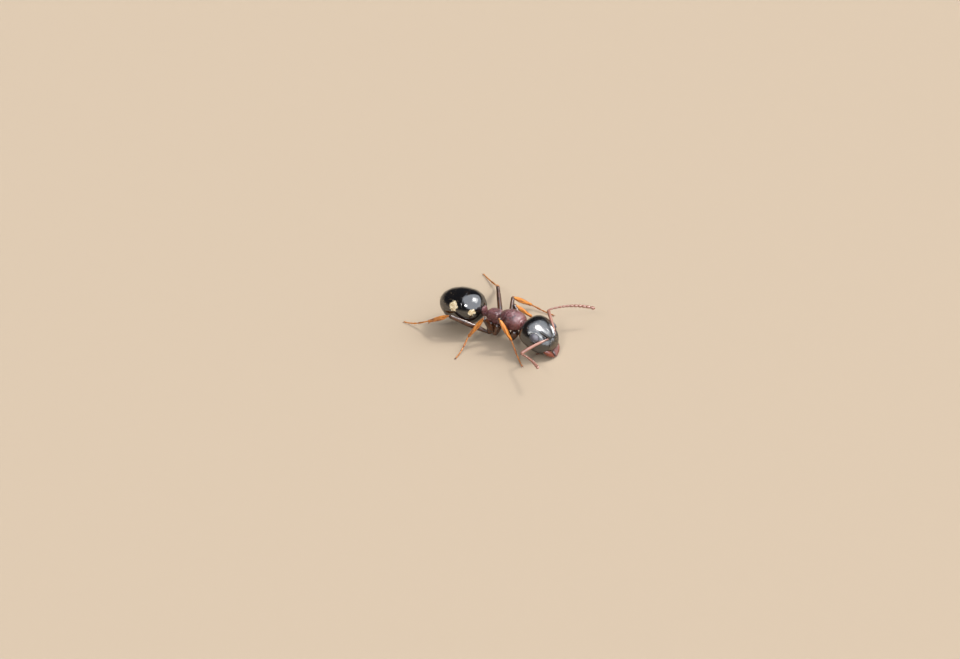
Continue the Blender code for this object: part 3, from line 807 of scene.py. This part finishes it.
def awayFrom(x, z, start, end):     # distance from a straight stretch of the flank
    (ax, az), (bx, bz) = start, end
    long = (bx - ax) ** 2 + (bz - az) ** 2
    t = np.clip(((x - ax) * (bx - ax) + (z - az) * (bz - az)) / long, 0, 1)
    return np.hypot(x - ax - t * (bx - ax), z - az - t * (bz - az))


def plateRelief(plate, co):
    x, y, z = co.T
    side = ease(np.abs(y), *plate["flank"])
    height = 0 * x
    for depth, start, end, width in plate["furrows"]:
        height -= depth * hump(awayFrom(x, z, start, end), width) * side
    for rise, place, size in plate["swellings"]:
        height += rise * mound(x, z, place, (size, size)) * side
    for rise, place, width, fade in plate["across"]:
        height += rise * hump(x - place, width) * ease(z, *fade)
    for rise, place, width, fade in plate["along"]:
        height += rise * hump(np.abs(y) - place, width) * ease(z, *fade)
    if "spiracle" in plate:     # a breathing hole in a raised ring
        place, (rise, radius, width), (depth, size) = plate["spiracle"]
        away = np.hypot(x - place[0], z - place[1])
        height += side * (rise * hump(away - radius, width) - depth * hump(away, size))
    if "shelf" in plate:        # the flank steps in below its furrow
        depth, slope, width = plate["shelf"]
        startX, startZ = plate["furrows"][0][1]
        height -= depth * ease(slope * (x - startX) + startZ - z, 0.0, width) * side
    return height


def makePlate(node, plate):
    piece = ball(f"{node}Plate", 176, 96)
    rear, front = (trunk[edge] for edge in plate["edges"])

    def shape(co):
        share = (1 + co[:, 2]) / 2
        around = np.arctan2(co[:, 1], co[:, 0])
        back, fore = (smoothRow(edge, 1 - np.sin(around))[:, 0] for edge in (rear, front))
        x = back + share * (fore - back)
        halfWidth, top, bottom, power = smoothRow(trunk["stations"], x).T
        middle, half = (top + bottom) / 2, (top - bottom) / 2
        y, z = sectionPoint(around, halfWidth, half, half, power)
        rim = trunk["rim"] / (fore - back)
        close = roundEnds(share, rim, rim)
        return np.c_[x, y * close, middle + z * close]

    mould(piece, shape)
    relief(piece, lambda co: plateRelief(plate, co))
    x, y, z = corners(piece).T
    strength, low, high = plate["redBelow"]
    redder = strength * ease(z, low, high)
    if "redFront" in plate:
        strength, low, high = plate["redFront"]
        redder = np.maximum(strength * ease(x, low, high), redder)
    mark(piece, "redder", redder)
    settle(piece, maroon, "maroon_shell", node)


def makeNeck():
    piece = limbPiece("neckFolds", neck["length"], neckFolds, (0.05, 0.05), 1.15, segments=48, rings=64)
    mark(piece, "redder", neck["redder"])
    move(piece, frameAlong(Vector(neck["start"]), headFrame @ Vector(neck["towards"])))
    settle(piece, maroon, "maroon_shell", "neck")


waist = {
    "centre": (-1.36, -0.01, 1.09), "up": 0.33, "down": 0.22, "halfWidth": 0.185, "power": 3.2, "boxy": 0.86,
    # height share, half thickness, how far the scale leans forward
    "profile": [(-1, 0.06, 0.0), (-0.7, 0.115, 0.0), (-0.2, 0.112, 0.01), (0.3, 0.09, 0.02),
                (0.75, 0.066, 0.028), (1, 0.05, 0.03)],
    # the stalk in front of the scale and the one behind it: where it starts, its radii
    "stalks": [(0.02, (0.105, 0.085, 0.115)), (-0.28, (0.105, 0.08, 0.1))],
    "stalk": 0.26, "stalkDrop": -0.055, "notch": 0.02,
}


def makePetiole():
    scale = ball("petioleScale", 96, 72)

    def shape(co):
        height = co[:, 2]
        thick, lean = smoothRow(waist["profile"], height).T
        around = np.arctan2(co[:, 1], co[:, 0])
        size = (1 - np.abs(height) ** waist["power"]) ** (1 / waist["power"])
        wide = waist["halfWidth"] * (0.8 + 0.22 * ease(height, -0.8, 0.5)) * size
        x = lean + thick * size ** 0.7 * np.cos(around)
        y = wide * np.sign(np.sin(around)) * np.abs(np.sin(around)) ** waist["boxy"]
        z = np.where(height > 0, waist["up"], waist["down"]) * height
        return np.c_[x, y, z - waist["notch"] * hump(y, 0.05) * ease(height, 0.7, 1.0)]

    mould(scale, shape)
    parts = [scale]
    for start, (first, middle, last) in waist["stalks"]:
        table = [(0, first, 0), (0.5, middle, 0), (1, last, 0)]
        stalk = limbPiece("stalk", waist["stalk"], table, (0.05, 0.05), 1.2, segments=40)
        move(stalk, Matrix.Translation((start, 0, waist["stalkDrop"])))
        parts.append(stalk)
    piece = join("petioleScale", parts)
    mark(piece, "redder", 0.25 * ease(corners(piece)[:, 2], 0.1, 0.3))
    move(piece, Matrix.Translation(waist["centre"]))
    settle(piece, maroon, "maroon_shell", "petiole")


gaster = {
    "centre": (-2.47, -0.17, 1.23), "heading": 8.5, "long": 1.12, "wide": 0.84, "up": 0.77, "down": 0.88,
    "blunt": 2.15, "taper": -0.1, "edges": (0.999, 0.33, -0.22, -0.62, -0.86, -0.999), "foremost": 0.999,
    "loops": (96, 88, 64, 48, 40), "tuck": 0.07, "tuckDepth": 0.03, "step": 0.014,
    "flank": (-0.5, -0.54), "flankStep": 0.016,        # where the upper plates overlap the lower ones
    "rearRim": 0.016, "frontRim": 0.03, "pointed": 1e-6,
    "margin": 0.02, "marginBrown": 0.7,
    # one spot of each pair: along, round from the top in degrees, half length, half width, strength
    "spots": ((0.76, 74, 0.135, 17.0, 1.18), (-0.01, 60, 0.185, 16.0, 1.3)), "spotFade": 0.78,
}
gasterFrame = frameAt(Vector(gaster["centre"]), heading=gaster["heading"])


def makeRing(k):        # ring 0 is the foremost; each later one starts tucked under the ring before it
    first, last = gaster["edges"][k:k + 2]
    front = min(gaster["foremost"], first + (gaster["tuck"] if k else 0))
    rearmost = k == len(gaster["loops"]) - 1
    piece = ball(f"gasterRing_{k + 1}", 192, gaster["loops"][k])
    length = (front - last) * gaster["long"]

    def shape(co):
        along = (1 + co[:, 2]) / 2
        share = last + (front - last) * along
        around = np.arctan2(co[:, 1], co[:, 0])
        size = fatness(share, gaster["blunt"], gaster["taper"])
        y, z = sectionPoint(around, gaster["wide"] * size, gaster["up"] * size, gaster["down"] * size, 2.0)
        under = gaster["flankStep"] * ease(np.sin(around), *gaster["flank"])
        if k:
            under += gaster["step"] * ease(share, last, first)
            under += gaster["tuckDepth"] * np.maximum(0, share - first) / gaster["tuck"]
        shrink = np.maximum(0.0, 1 - under / (np.hypot(y, z) + 1e-9))
        close = roundEnds(along, gaster["pointed"] if rearmost else gaster["rearRim"] / length,
                          gaster["frontRim"] / length if k else gaster["pointed"])
        return np.c_[share * gaster["long"], y * shrink * close, z * shrink * close]

    mould(piece, shape)
    x, y, z = corners(piece).T
    share, band, margin = x / gaster["long"], x - last * gaster["long"], gaster["margin"]
    mark(piece, "margin", 0 if rearmost else (1 - ease(band, margin * 0.5, margin)) * gaster["marginBrown"])
    strength = 0
    if k < len(gaster["spots"]):
        along, angle, long, wide, most = gaster["spots"][k]
        around = np.degrees(np.arctan2(np.abs(y) / gaster["wide"], z / gaster["up"]))
        away = np.hypot((share - along) / long, (around - angle) / wide)
        strength = np.clip(most - gaster["spotFade"] * away, 0, 1)
    mark(piece, "spot", strength)
    move(piece, gasterFrame)
    settle(piece, gasterBlack, "black_shell", f"gaster_{k + 1}")


for node, plate in plates.items():
    makePlate(node, plate)
makeNeck()
makePetiole()
for k in range(len(gaster["loops"])):
    makeRing(k)
print("trunk, waist and abdomen made")

# Heading and rise of the coxa, femur and tibia of each leg, then the tarsus's heading, as in the solids.
legs = {
    ("left", "fore"): ((76, -67), (158, 39), (60, -52), -2),
    ("left", "mid"): ((90, -47), (117, 36), (81, -45), 2),
    ("left", "hind"): ((90, -70), (131.5, 22.3), (135, -35), 155),
    ("right", "fore"): ((-155, -59), (-112, 71), (4, -63), -31),
    ("right", "mid"): ((-116.5, -59.5), (-104.5, 69.4), (-156, -51), -84),
    ("right", "hind"): ((-90, -72.5), (-150.5, 28.5), (-179, -30), -177),
}
legForm = {
    # hips: forward, outward, up; lengths of coxa, femur, tibia, tarsus
    "hips": {"fore": (0.63, 0.27, 0.86), "mid": (-0.42, 0.26, 0.8), "hind": (-0.84, 0.26, 0.8)},
    "lengths": {"fore": (0.48, 1.42, 1.18, 1.36), "mid": (0.44, 1.19, 1.34, 1.24),
                "hind": (0.47, 2.00, 1.53, 1.54)},
    "coxaRadius": {"fore": 0.175, "mid": 0.178, "hind": 0.178},
    "coxaReach": {"fore": 1.15, "mid": 1.28, "hind": 1.28},     # its root sinks this far into the trunk
    "femurRadius": {"fore": 0.132, "mid": 0.122, "hind": 0.13},
    "tibiaRadius": {"fore": 0.126, "mid": 0.138, "hind": 0.108},
    "tarsusRadius": {"fore": 0.043 * 1.1, "mid": 0.043, "hind": 0.043},
    "spurs": {"fore": ((8, 1.15),), "mid": ((14, 1.0), (-14, 0.75)), "hind": ((14, 1.0), (-14, 0.75))},
    "spurLean": 24, "spurPlace": (-0.03, 0, -0.045),
    "overlap": 0.015, "jointOverlap": 1.03,     # how far a piece runs into the one before it or after it
    "trochanter": 0.13, "tarsus": (0.44, 0.18, 0.13, 0.095, 0.155),
    "tarsusThick": (1.0, 0.86, 0.8, 0.78, 0.7),
    "flat": 0.72, "sole": 0.012, "sink": 1.7,       # how the foot comes down to lie on the ground
    "claw": 0.105, "clawSpread": 32,
}
# share of length, radius against the greatest, lift of the middle line against it
limbTables = {
    "coxa": [(0, 1.0, 0), (0.22, 1.1, 0), (0.58, 1.0, 0), (0.85, 0.8, 0), (1, 0.64, 0)],
    "trochanter": [(0, 0.44, 0), (0.3, 0.54, 0), (0.7, 0.56, 0), (1, 0.46, 0)],
    "femur": [(0, 0.5, -0.02), (0.08, 0.66, 0), (0.28, 0.98, 0.04), (0.5, 1.0, 0.04), (0.78, 0.86, 0.02),
              (0.9, 0.76, 0), (0.96, 0.76, 0), (1, 0.6, 0)],
    "tibia": [(0, 0.5, 0.0), (0.04, 0.46, 0.02), (0.09, 0.52, 0.04), (0.28, 0.9, 0.02), (0.46, 1.0, 0),
              (0.7, 0.84, 0), (0.9, 0.64, 0), (0.97, 0.66, 0), (1, 0.52, 0)],
    "tarsus": [(0, 0.52, 0), (0.1, 0.6, 0), (0.5, 0.8, 0), (0.88, 1, 0), (1, 0.8, 0)],
}
claw = {"thick": 0.016, "thin": 0.15, "long": 0.085, "drop": 0.063, "bend": 1.25}
spur = {"thick": 0.014, "tip": 0.002, "long": 0.17}


def legJoints(side, pair):
    coxa, femur, tibia, heading = legs[side, pair]
    x, y, z = legForm["hips"][pair]
    joints = [Vector((x, sides[side] * y, z))]
    long = legForm["lengths"][pair]
    for pose, length in zip((coxa, femur, tibia), long):
        joints.append(joints[-1] + bearing(*pose) * length)
    fall = -degrees(asin(joints[-1].z / long[3]))
    joints.append(joints[-1] + bearing(heading, fall) * long[3])
    return joints


def makeClawModel():
    model = begin("clawModel", bpy.ops.mesh.primitive_cone_add, vertices=10, radius1=1, radius2=0.06, depth=1)
    edit(model, (bpy.ops.mesh.subdivide, dict(number_cuts=5)))

    def shape(co):
        t = np.clip(co[:, 2] + 0.5, 0, 1)
        turn, thick = t * claw["bend"], claw["thick"] * (1 - (1 - claw["thin"]) * t)
        flat = np.linalg.norm(co[:, :2], axis=1)[:, None] + 1e-9
        ring = co[:, :2] / flat * np.minimum(1, flat / (1 - 0.94 * t[:, None] + 1e-9))
        x = claw["long"] * np.sin(turn) + ring[:, 0] * thick * np.cos(turn)
        z = claw["drop"] * (np.cos(turn) - 1) + ring[:, 0] * thick * np.sin(turn)
        return np.c_[x, ring[:, 1] * thick, z]

    mould(model, shape)
    markGrain(model)
    return model


def makeSpurModel():
    model = begin("spurModel", bpy.ops.mesh.primitive_cone_add, vertices=8, radius1=spur["thick"],
                  radius2=spur["tip"], depth=spur["long"])
    move(model, Matrix.Rotation(radians(90), 4, "Y") @ Matrix.Translation((0, 0, spur["long"] / 2)))
    markGrain(model)
    return model


def makeCoxa(name, pair, hip, trochanter):
    root = trochanter + (hip - trochanter) * legForm["coxaReach"][pair]
    table = scaled(limbTables["coxa"], legForm["coxaRadius"][pair])
    piece = limbPiece(f"{name}_coxaShell", (trochanter - root).length + 0.02, table, (0.2, 0.08), 0.92,
                      segments=40, rings=56)
    mark(piece, "shade", 0.5 * (1 - ease(corners(piece)[:, 0], 0.05, 0.2)))
    move(piece, frameAlong(root, trochanter))
    settle(piece, darkLeg, "dark_leg", f"{name}_coxa")


def makeFemur(name, pair, trochanter, knee):
    radius, short = legForm["femurRadius"][pair], legForm["trochanter"]
    reach = (knee - trochanter).length
    first = limbPiece("trochanter", short + 0.03, scaled(limbTables["trochanter"], radius), (0.14, 0.14),
                      segments=32, rings=28)
    thigh = limbPiece("femur", reach - short + 0.02, scaled(limbTables["femur"], radius), (0.02, 0.05), 0.86,
                      segments=36, rings=96)
    mark(first, "shade", 0.4)
    mark(thigh, "shade", 0.5 * ease(corners(thigh)[:, 0] / reach, 0.8, 0.92))
    move(first, frameAlong(trochanter, knee) @ Matrix.Translation((-legForm["overlap"], 0, 0)))
    move(thigh, frameAlong(trochanter.lerp(knee, short / reach), knee) @ Matrix.Translation((-0.01, 0, 0)))
    settle(join(f"{name}_femurShell", [first, thigh]), darkLeg, "dark_leg", f"{name}_femur")


def makeTibia(name, pair, knee, ankle, toe):
    long, ahead = (ankle - knee).length, (ankle - knee).normalized()
    shin = limbPiece("tibia", long + 0.03, scaled(limbTables["tibia"], legForm["tibiaRadius"][pair]),
                     (0.03, 0.04), 0.8, segments=36, rings=96)
    far = corners(shin)[:, 0] / long
    mark(shin, "shade", 0.75 * (1 - ease(far, 0.0, 0.06)) + 0.35 * ease(far, 0.9, 1.0))
    away = (toe - ankle).normalized()
    shinFrame = frameAlong(knee, ankle, -away if abs(away.dot(ahead)) < 0.98 else (0, 0, 1))
    move(shin, shinFrame @ Matrix.Translation((-legForm["overlap"], 0, 0)))
    parts = [shin]
    x, y, z = legForm["spurPlace"]
    lean = Matrix.Rotation(radians(legForm["spurLean"]), 4, "Y")
    for turn, size in legForm["spurs"][pair]:
        copy = copyOf(spurModel, "spur")
        move(copy, shinFrame @ Matrix.Translation((long + x, y, z)) @ Matrix.Rotation(radians(turn), 4, "Z")
             @ lean @ Matrix.Scale(size, 4))
        mark(copy, "shade", 0.1)
        parts.append(copy)
    settle(join(f"{name}_tibiaShell", parts), amberLeg, "amber_leg", f"{name}_tibia")


def footPoints(radius, ankle, toe):     # the foot sinks quickly and its last joints lie on the ground
    low = radius * legForm["flat"] + legForm["sole"]
    points = []
    for t in np.cumsum((0,) + legForm["tarsus"]):
        place = ankle.lerp(toe, t)
        place.z = low + (ankle.z - low) * (1 - t) ** legForm["sink"]
        points.append(place)
    return points


def makeFoot(name, pair, ankle, toe):
    radius = legForm["tarsusRadius"][pair]
    points = footPoints(radius, ankle, toe)
    parts, claws = [], []
    for k, (start, end) in enumerate(zip(points, points[1:])):
        table = scaled(limbTables["tarsus"], radius * legForm["tarsusThick"][k])
        long = (end - start).length
        joint = limbPiece("joint", long * legForm["jointOverlap"], table, (0.05, 0.07), 0.95,
                          segments=20, rings=26)
        mark(joint, "shade", 0.25 + 0.45 * ease(corners(joint)[:, 0] / long, 0.85, 1.0) * (k < 4))
        move(joint, frameAlong(start, end))
        parts.append(joint)
    heading = (points[-1] - points[-2]).normalized()
    for turn in (legForm["clawSpread"], -legForm["clawSpread"]):
        copy = copyOf(clawModel, "claw")
        mark(copy, "shade", 0.9)
        move(copy, frameAlong(points[-1], points[-1] + Vector((heading.x, heading.y, 0)))
             @ Matrix.Rotation(radians(turn), 4, "Z") @ Matrix.Scale(legForm["claw"] / claw["long"], 4))
        claws.append(copy)
    foot = (join(f"{name}_tarsusJoints", parts), join(f"{name}_claws", claws))
    drop = min(corners(piece)[:, 2].min() for piece in foot)
    for piece in foot:
        move(piece, Matrix.Translation((0, 0, -drop)))      # the claws and sole touch the ground
    settle(foot[0], amberLeg, "amber_leg", f"{name}_tarsus")
    settle(foot[1], amberLeg, "amber_leg")


clawModel, spurModel = makeClawModel(), makeSpurModel()
for side, pair in legs:
    name = f"leg_{side}_{pair}"
    hip, trochanter, knee, ankle, toe = legJoints(side, pair)
    makeCoxa(name, pair, hip, trochanter)
    makeFemur(name, pair, trochanter, knee)
    makeTibia(name, pair, knee, ankle, toe)
    makeFoot(name, pair, ankle, toe)
for model in (clawModel, spurModel):
    bpy.data.objects.remove(model)
print("legs made")

setae = {
    # skins, how many, length, thickness, lean to the rear
    "headSetae": (("headCapsule",), 60, 0.08, 0.0026, 0.45),
    "clypeusSetae": (("headCapsule",), 30, 0.115, 0.0026, -0.75),
    "trunkSetae": (("propodeumPlate", "mesonotumPlate", "pronotumPlate", "petioleScale"), 84, 0.08, 0.0026,
                   0.5),
    "gasterSetae": (tuple(f"gasterRing_{k + 1}" for k in range(5)), 220, 0.085, 0.0024, 0.9),
    # each piece's hairs, length, thickness
    "legSetae": (60, 0.034, 0.0022), "footSetae": (60, 0.034 * 0.8, 0.0022),
    "back": (-1, 0, 0.15), "untidy": 0.12, "limbLean": 1.9,
    "patch": 0.003, "seed": 11, "ceiling": cadHigh.z / millimetre - 0.01, "lowest": (0.02, 0.01),
    "bend": 0.12, "rooted": 0.25,       # how far a hair bends, and how deep its root goes for its thickness
}


def hairModel():        # one hair, root at the origin, rising along Z and bending towards +X
    hair = begin("hairModel", bpy.ops.mesh.primitive_cone_add, vertices=4, radius1=1, radius2=0.12, depth=1)
    edit(hair, (bpy.ops.mesh.subdivide, dict(number_cuts=1)))
    move(hair, Matrix.Translation((0, 0, 0.5)))
    base = corners(hair).copy()
    faces = [list(face.vertices) for face in hair.data.polygons]
    bpy.data.objects.remove(hair)
    return base, faces


def makeHairs(name, roots):     # a root: place, outward normal, way it leans, length, thickness, unwrap place
    base, faces = hairTemplate
    points, polygons, spots = [], [], []
    for k, (place, normal, lean, length, thick, at) in enumerate(roots):
        z = normal.normalized()
        y = z.cross(lean)
        y = y.normalized() if y.length > 1e-6 else z.orthogonal().normalized()
        x = y.cross(z)
        bend = setae["bend"] * length * base[:, 2] ** 2
        local = np.c_[base[:, 0] * thick + bend, base[:, 1] * thick,
                      base[:, 2] * length - setae["rooted"] * thick]
        points.append(local @ np.array((x, y, z)) + np.array(place))
        polygons += [[corner + k * len(base) for corner in face] for face in faces]
        spots.append(np.array(at) + setae["patch"] * np.c_[base[:, 0] * 0.25, base[:, 2] - 0.5])
    mesh = bpy.data.meshes.new(name)
    mesh.from_pydata(np.concatenate(points).tolist(), [], polygons)
    piece = bpy.data.objects.new(name, mesh)
    bpy.context.scene.collection.objects.link(piece)
    unwrap = mesh.uv_layers.new(name="OFBake")
    order = np.empty(len(mesh.loops), int)
    mesh.loops.foreach_get("vertex_index", order)
    unwrap.data.foreach_set("uv", np.concatenate(spots)[order].ravel())
    settle(piece, setaPale, "antenna_brown")


def skinPoints(skin):       # each corner of a finished piece, in the ant's own axes, and its normal
    piece = bpy.data.objects[skin]
    return corners(piece) / millimetre - np.array(bodyOrigin), corners(piece, "normal")


def patchAt(band, bands, along, around):        # each skin has its own band of the unwrap
    return (band + 0.05 + 0.9 * along) / bands, 0.05 + 0.9 * around


def bodyHairs(name, keep):
    skins, count, length, thick, lean = setae[name]
    back, roots = Vector(setae["back"]), []
    for band, skin in enumerate(skins):
        places, normals = skinPoints(skin)
        low, high = places.min(0), places.max(0)
        middle = (low + high) / 2
        chosen = [k for k in range(len(places)) if keep(places[k], normals[k])]
        for k in draw.sample(chosen, min(round(count / len(skins)), len(chosen))):
            place, normal = Vector(places[k]), Vector(normals[k])
            along = (place.x - low[0]) / (high[0] - low[0])
            around = np.arctan2(place.y - middle[1], place.z - middle[2]) / (2 * pi) + 0.5
            tilt = normal + lean * back * draw.uniform(0.6, 1.3)
            tilt = (tilt + setae["untidy"] * Vector([draw.uniform(-1, 1) for _ in range(3)])).normalized()
            size = length * draw.uniform(0.6, 1.25)
            if place.z + size * tilt.z < setae["ceiling"]:
                roots.append((place, tilt, back, size, thick, patchAt(band, len(skins), along, around)))
    makeHairs(name, roots)


def limbHairs(name, skins):     # a skin: its piece, and where that limb starts and ends
    count, length, thick = setae[name]
    lowestRoot, lowestTip = setae["lowest"]
    roots = []
    for band, (skin, start, end) in enumerate(skins):
        places, normals = skinPoints(skin)
        axis = (end - start).normalized()
        for k in draw.sample(range(len(places)), min(count, len(places))):
            place, normal = Vector(places[k]), Vector(normals[k])
            if place.z < lowestRoot or abs(normal.dot(axis)) > 0.8:
                continue
            along = min(1, max(0, (place - start).dot(axis) / (end - start).length))
            around = (normal.x + 1.3 * normal.y + 2.3) / 4.6        # 0 to 1, different on each side
            size = length * draw.uniform(0.6, 1.2)
            tilt = (normal + axis * setae["limbLean"]).normalized()
            if (place + tilt * size).z > lowestTip:
                roots.append((place, tilt, axis, size, thick, patchAt(band, len(skins), along, around)))
    makeHairs(name, roots)


def onShieldEdge(at, normal):       # along the front edge of the face shield
    x, y, z = headFrame.inverted() @ Vector(at)
    return 0.62 < x < 0.8 and abs(y) < 0.27 and z > 0.14


hairTemplate = hairModel()
draw = random.Random(setae["seed"])
keepers = {     # where on its skins each coat of hairs may grow
    "headSetae": lambda at, normal: normal[2] > 0.15 and draw.random() < 0.5 and abs(at[1]) < 0.62,
    "clypeusSetae": onShieldEdge,
    "trunkSetae": lambda at, normal: normal[2] > 0.25,
    "gasterSetae": lambda at, normal: abs(normal[0]) < 0.97 and at[0] < -1.6,
}
for name, keep in keepers.items():
    bodyHairs(name, keep)
limbSkins, footSkins = [], []
for side, pair in legs:
    name = f"leg_{side}_{pair}"
    hip, trochanter, knee, ankle, toe = legJoints(side, pair)
    limbSkins += [(f"{name}_femurShell", trochanter, knee), (f"{name}_tibiaShell", knee, ankle)]
    footSkins.append((f"{name}_tarsusJoints", ankle, toe))
limbHairs("legSetae", limbSkins)
limbHairs("footSetae", footSkins)
print("setae made")

studio = {
    "look": (-1.765, -0.061, 0.0), "turn": (-45.36, -35, -9),       # the camera's heading, pitch and roll
    "lens": 200.0, "film": 36.0, "width": 43.2, "clip": (0.001, 20.0), "lit": (-0.2, -0.1, 0.9),
    "floor": (0.384, 0.302, 0.215), "floorSize": 30,
    "room": ((0.01, (0.76, 0.63, 0.48)), (0.25, (0.055, 0.055, 0.06))),     # level and colour
}
panels = {      # heading, pitch, roll; distance, width and height in metres; power, colour, shift
    "bigPanel": ((15, -40, 128.243), 14, 39.8, 38, 10600, (0.88, 0.92, 1.0), (0.56, -0.12)),
    "keyLight": ((39, -56), 13, 1.8, 1.8, 760, (1.0, 0.97, 0.92)),
    "glowPanel": ((37, -50), 15, 8.5, 8.5, 850, (1.0, 0.98, 0.96)),
    "sideLight": ((-68, -45), 16, 2.0, 2.0, 700, (1.0, 0.98, 0.95)),
}


def aimed(name, data, at, distance, turn, slide=(0, 0)):        # faces a place on the ant from a distance
    thing = bpy.data.objects.new(name, data)
    bpy.context.scene.collection.objects.link(thing)
    aim = frameAt((bodyOrigin + Vector(at)) * millimetre, *turn)
    facing = Matrix(((0, 0, 1), (1, 0, 0), (0, 1, 0))).to_4x4()     # both kinds look along their own -Z
    thing.matrix_world = aim @ Matrix.Translation(distance * Vector((1, *slide))) @ facing
    return thing


def makeCamera():
    data = bpy.data.cameras.new("camera")
    data.lens, data.sensor_width = studio["lens"], studio["film"]
    data.clip_start, data.clip_end = studio["clip"]
    distance = studio["width"] * millimetre * studio["lens"] / studio["film"]
    bpy.context.scene.camera = aimed("camera", data, studio["look"], distance, studio["turn"])


def makePanel(name, turn, distance, width, height, watts, colour, slide=(0, 0)):
    data = bpy.data.lights.new(name, "AREA")
    data.shape, data.size, data.size_y = "RECTANGLE", width, height
    data.energy, data.color = watts, colour
    aimed(name, data, studio["lit"], distance, turn, slide).visible_camera = False


def makeFloor():
    floor = begin("floor", bpy.ops.mesh.primitive_plane_add, size=studio["floorSize"])
    look = Look("floorPale", Roughness=0.85, Base_Color=(*studio["floor"], 1))
    floor.data.materials.append(look.material)


def makeRoom():
    world = bpy.data.worlds.new("room")
    bpy.context.scene.world = world
    world.use_nodes = True
    tree = world.node_tree
    kinds = ("ShaderNodeTexCoord", "ShaderNodeSeparateXYZ", "ShaderNodeValToRGB")
    where, split, ramp = (tree.nodes.new(kind) for kind in kinds)
    for stop, (level, colour) in zip(ramp.color_ramp.elements, studio["room"]):
        stop.position, stop.color = level, (*colour, 1)
    tree.links.new(where.outputs["Generated"], split.inputs[0])
    tree.links.new(split.outputs["Z"], ramp.inputs[0])
    tree.links.new(ramp.outputs[0], tree.nodes["Background"].inputs["Color"])


makeCamera()
makeFloor()
for name, panel in panels.items():
    makePanel(name, *panel)
makeRoom()
bpy.context.scene.view_settings.view_transform = "Standard"
print("cad box", [round(v * 1000, 3) for v in (*cadLow, *cadHigh)])
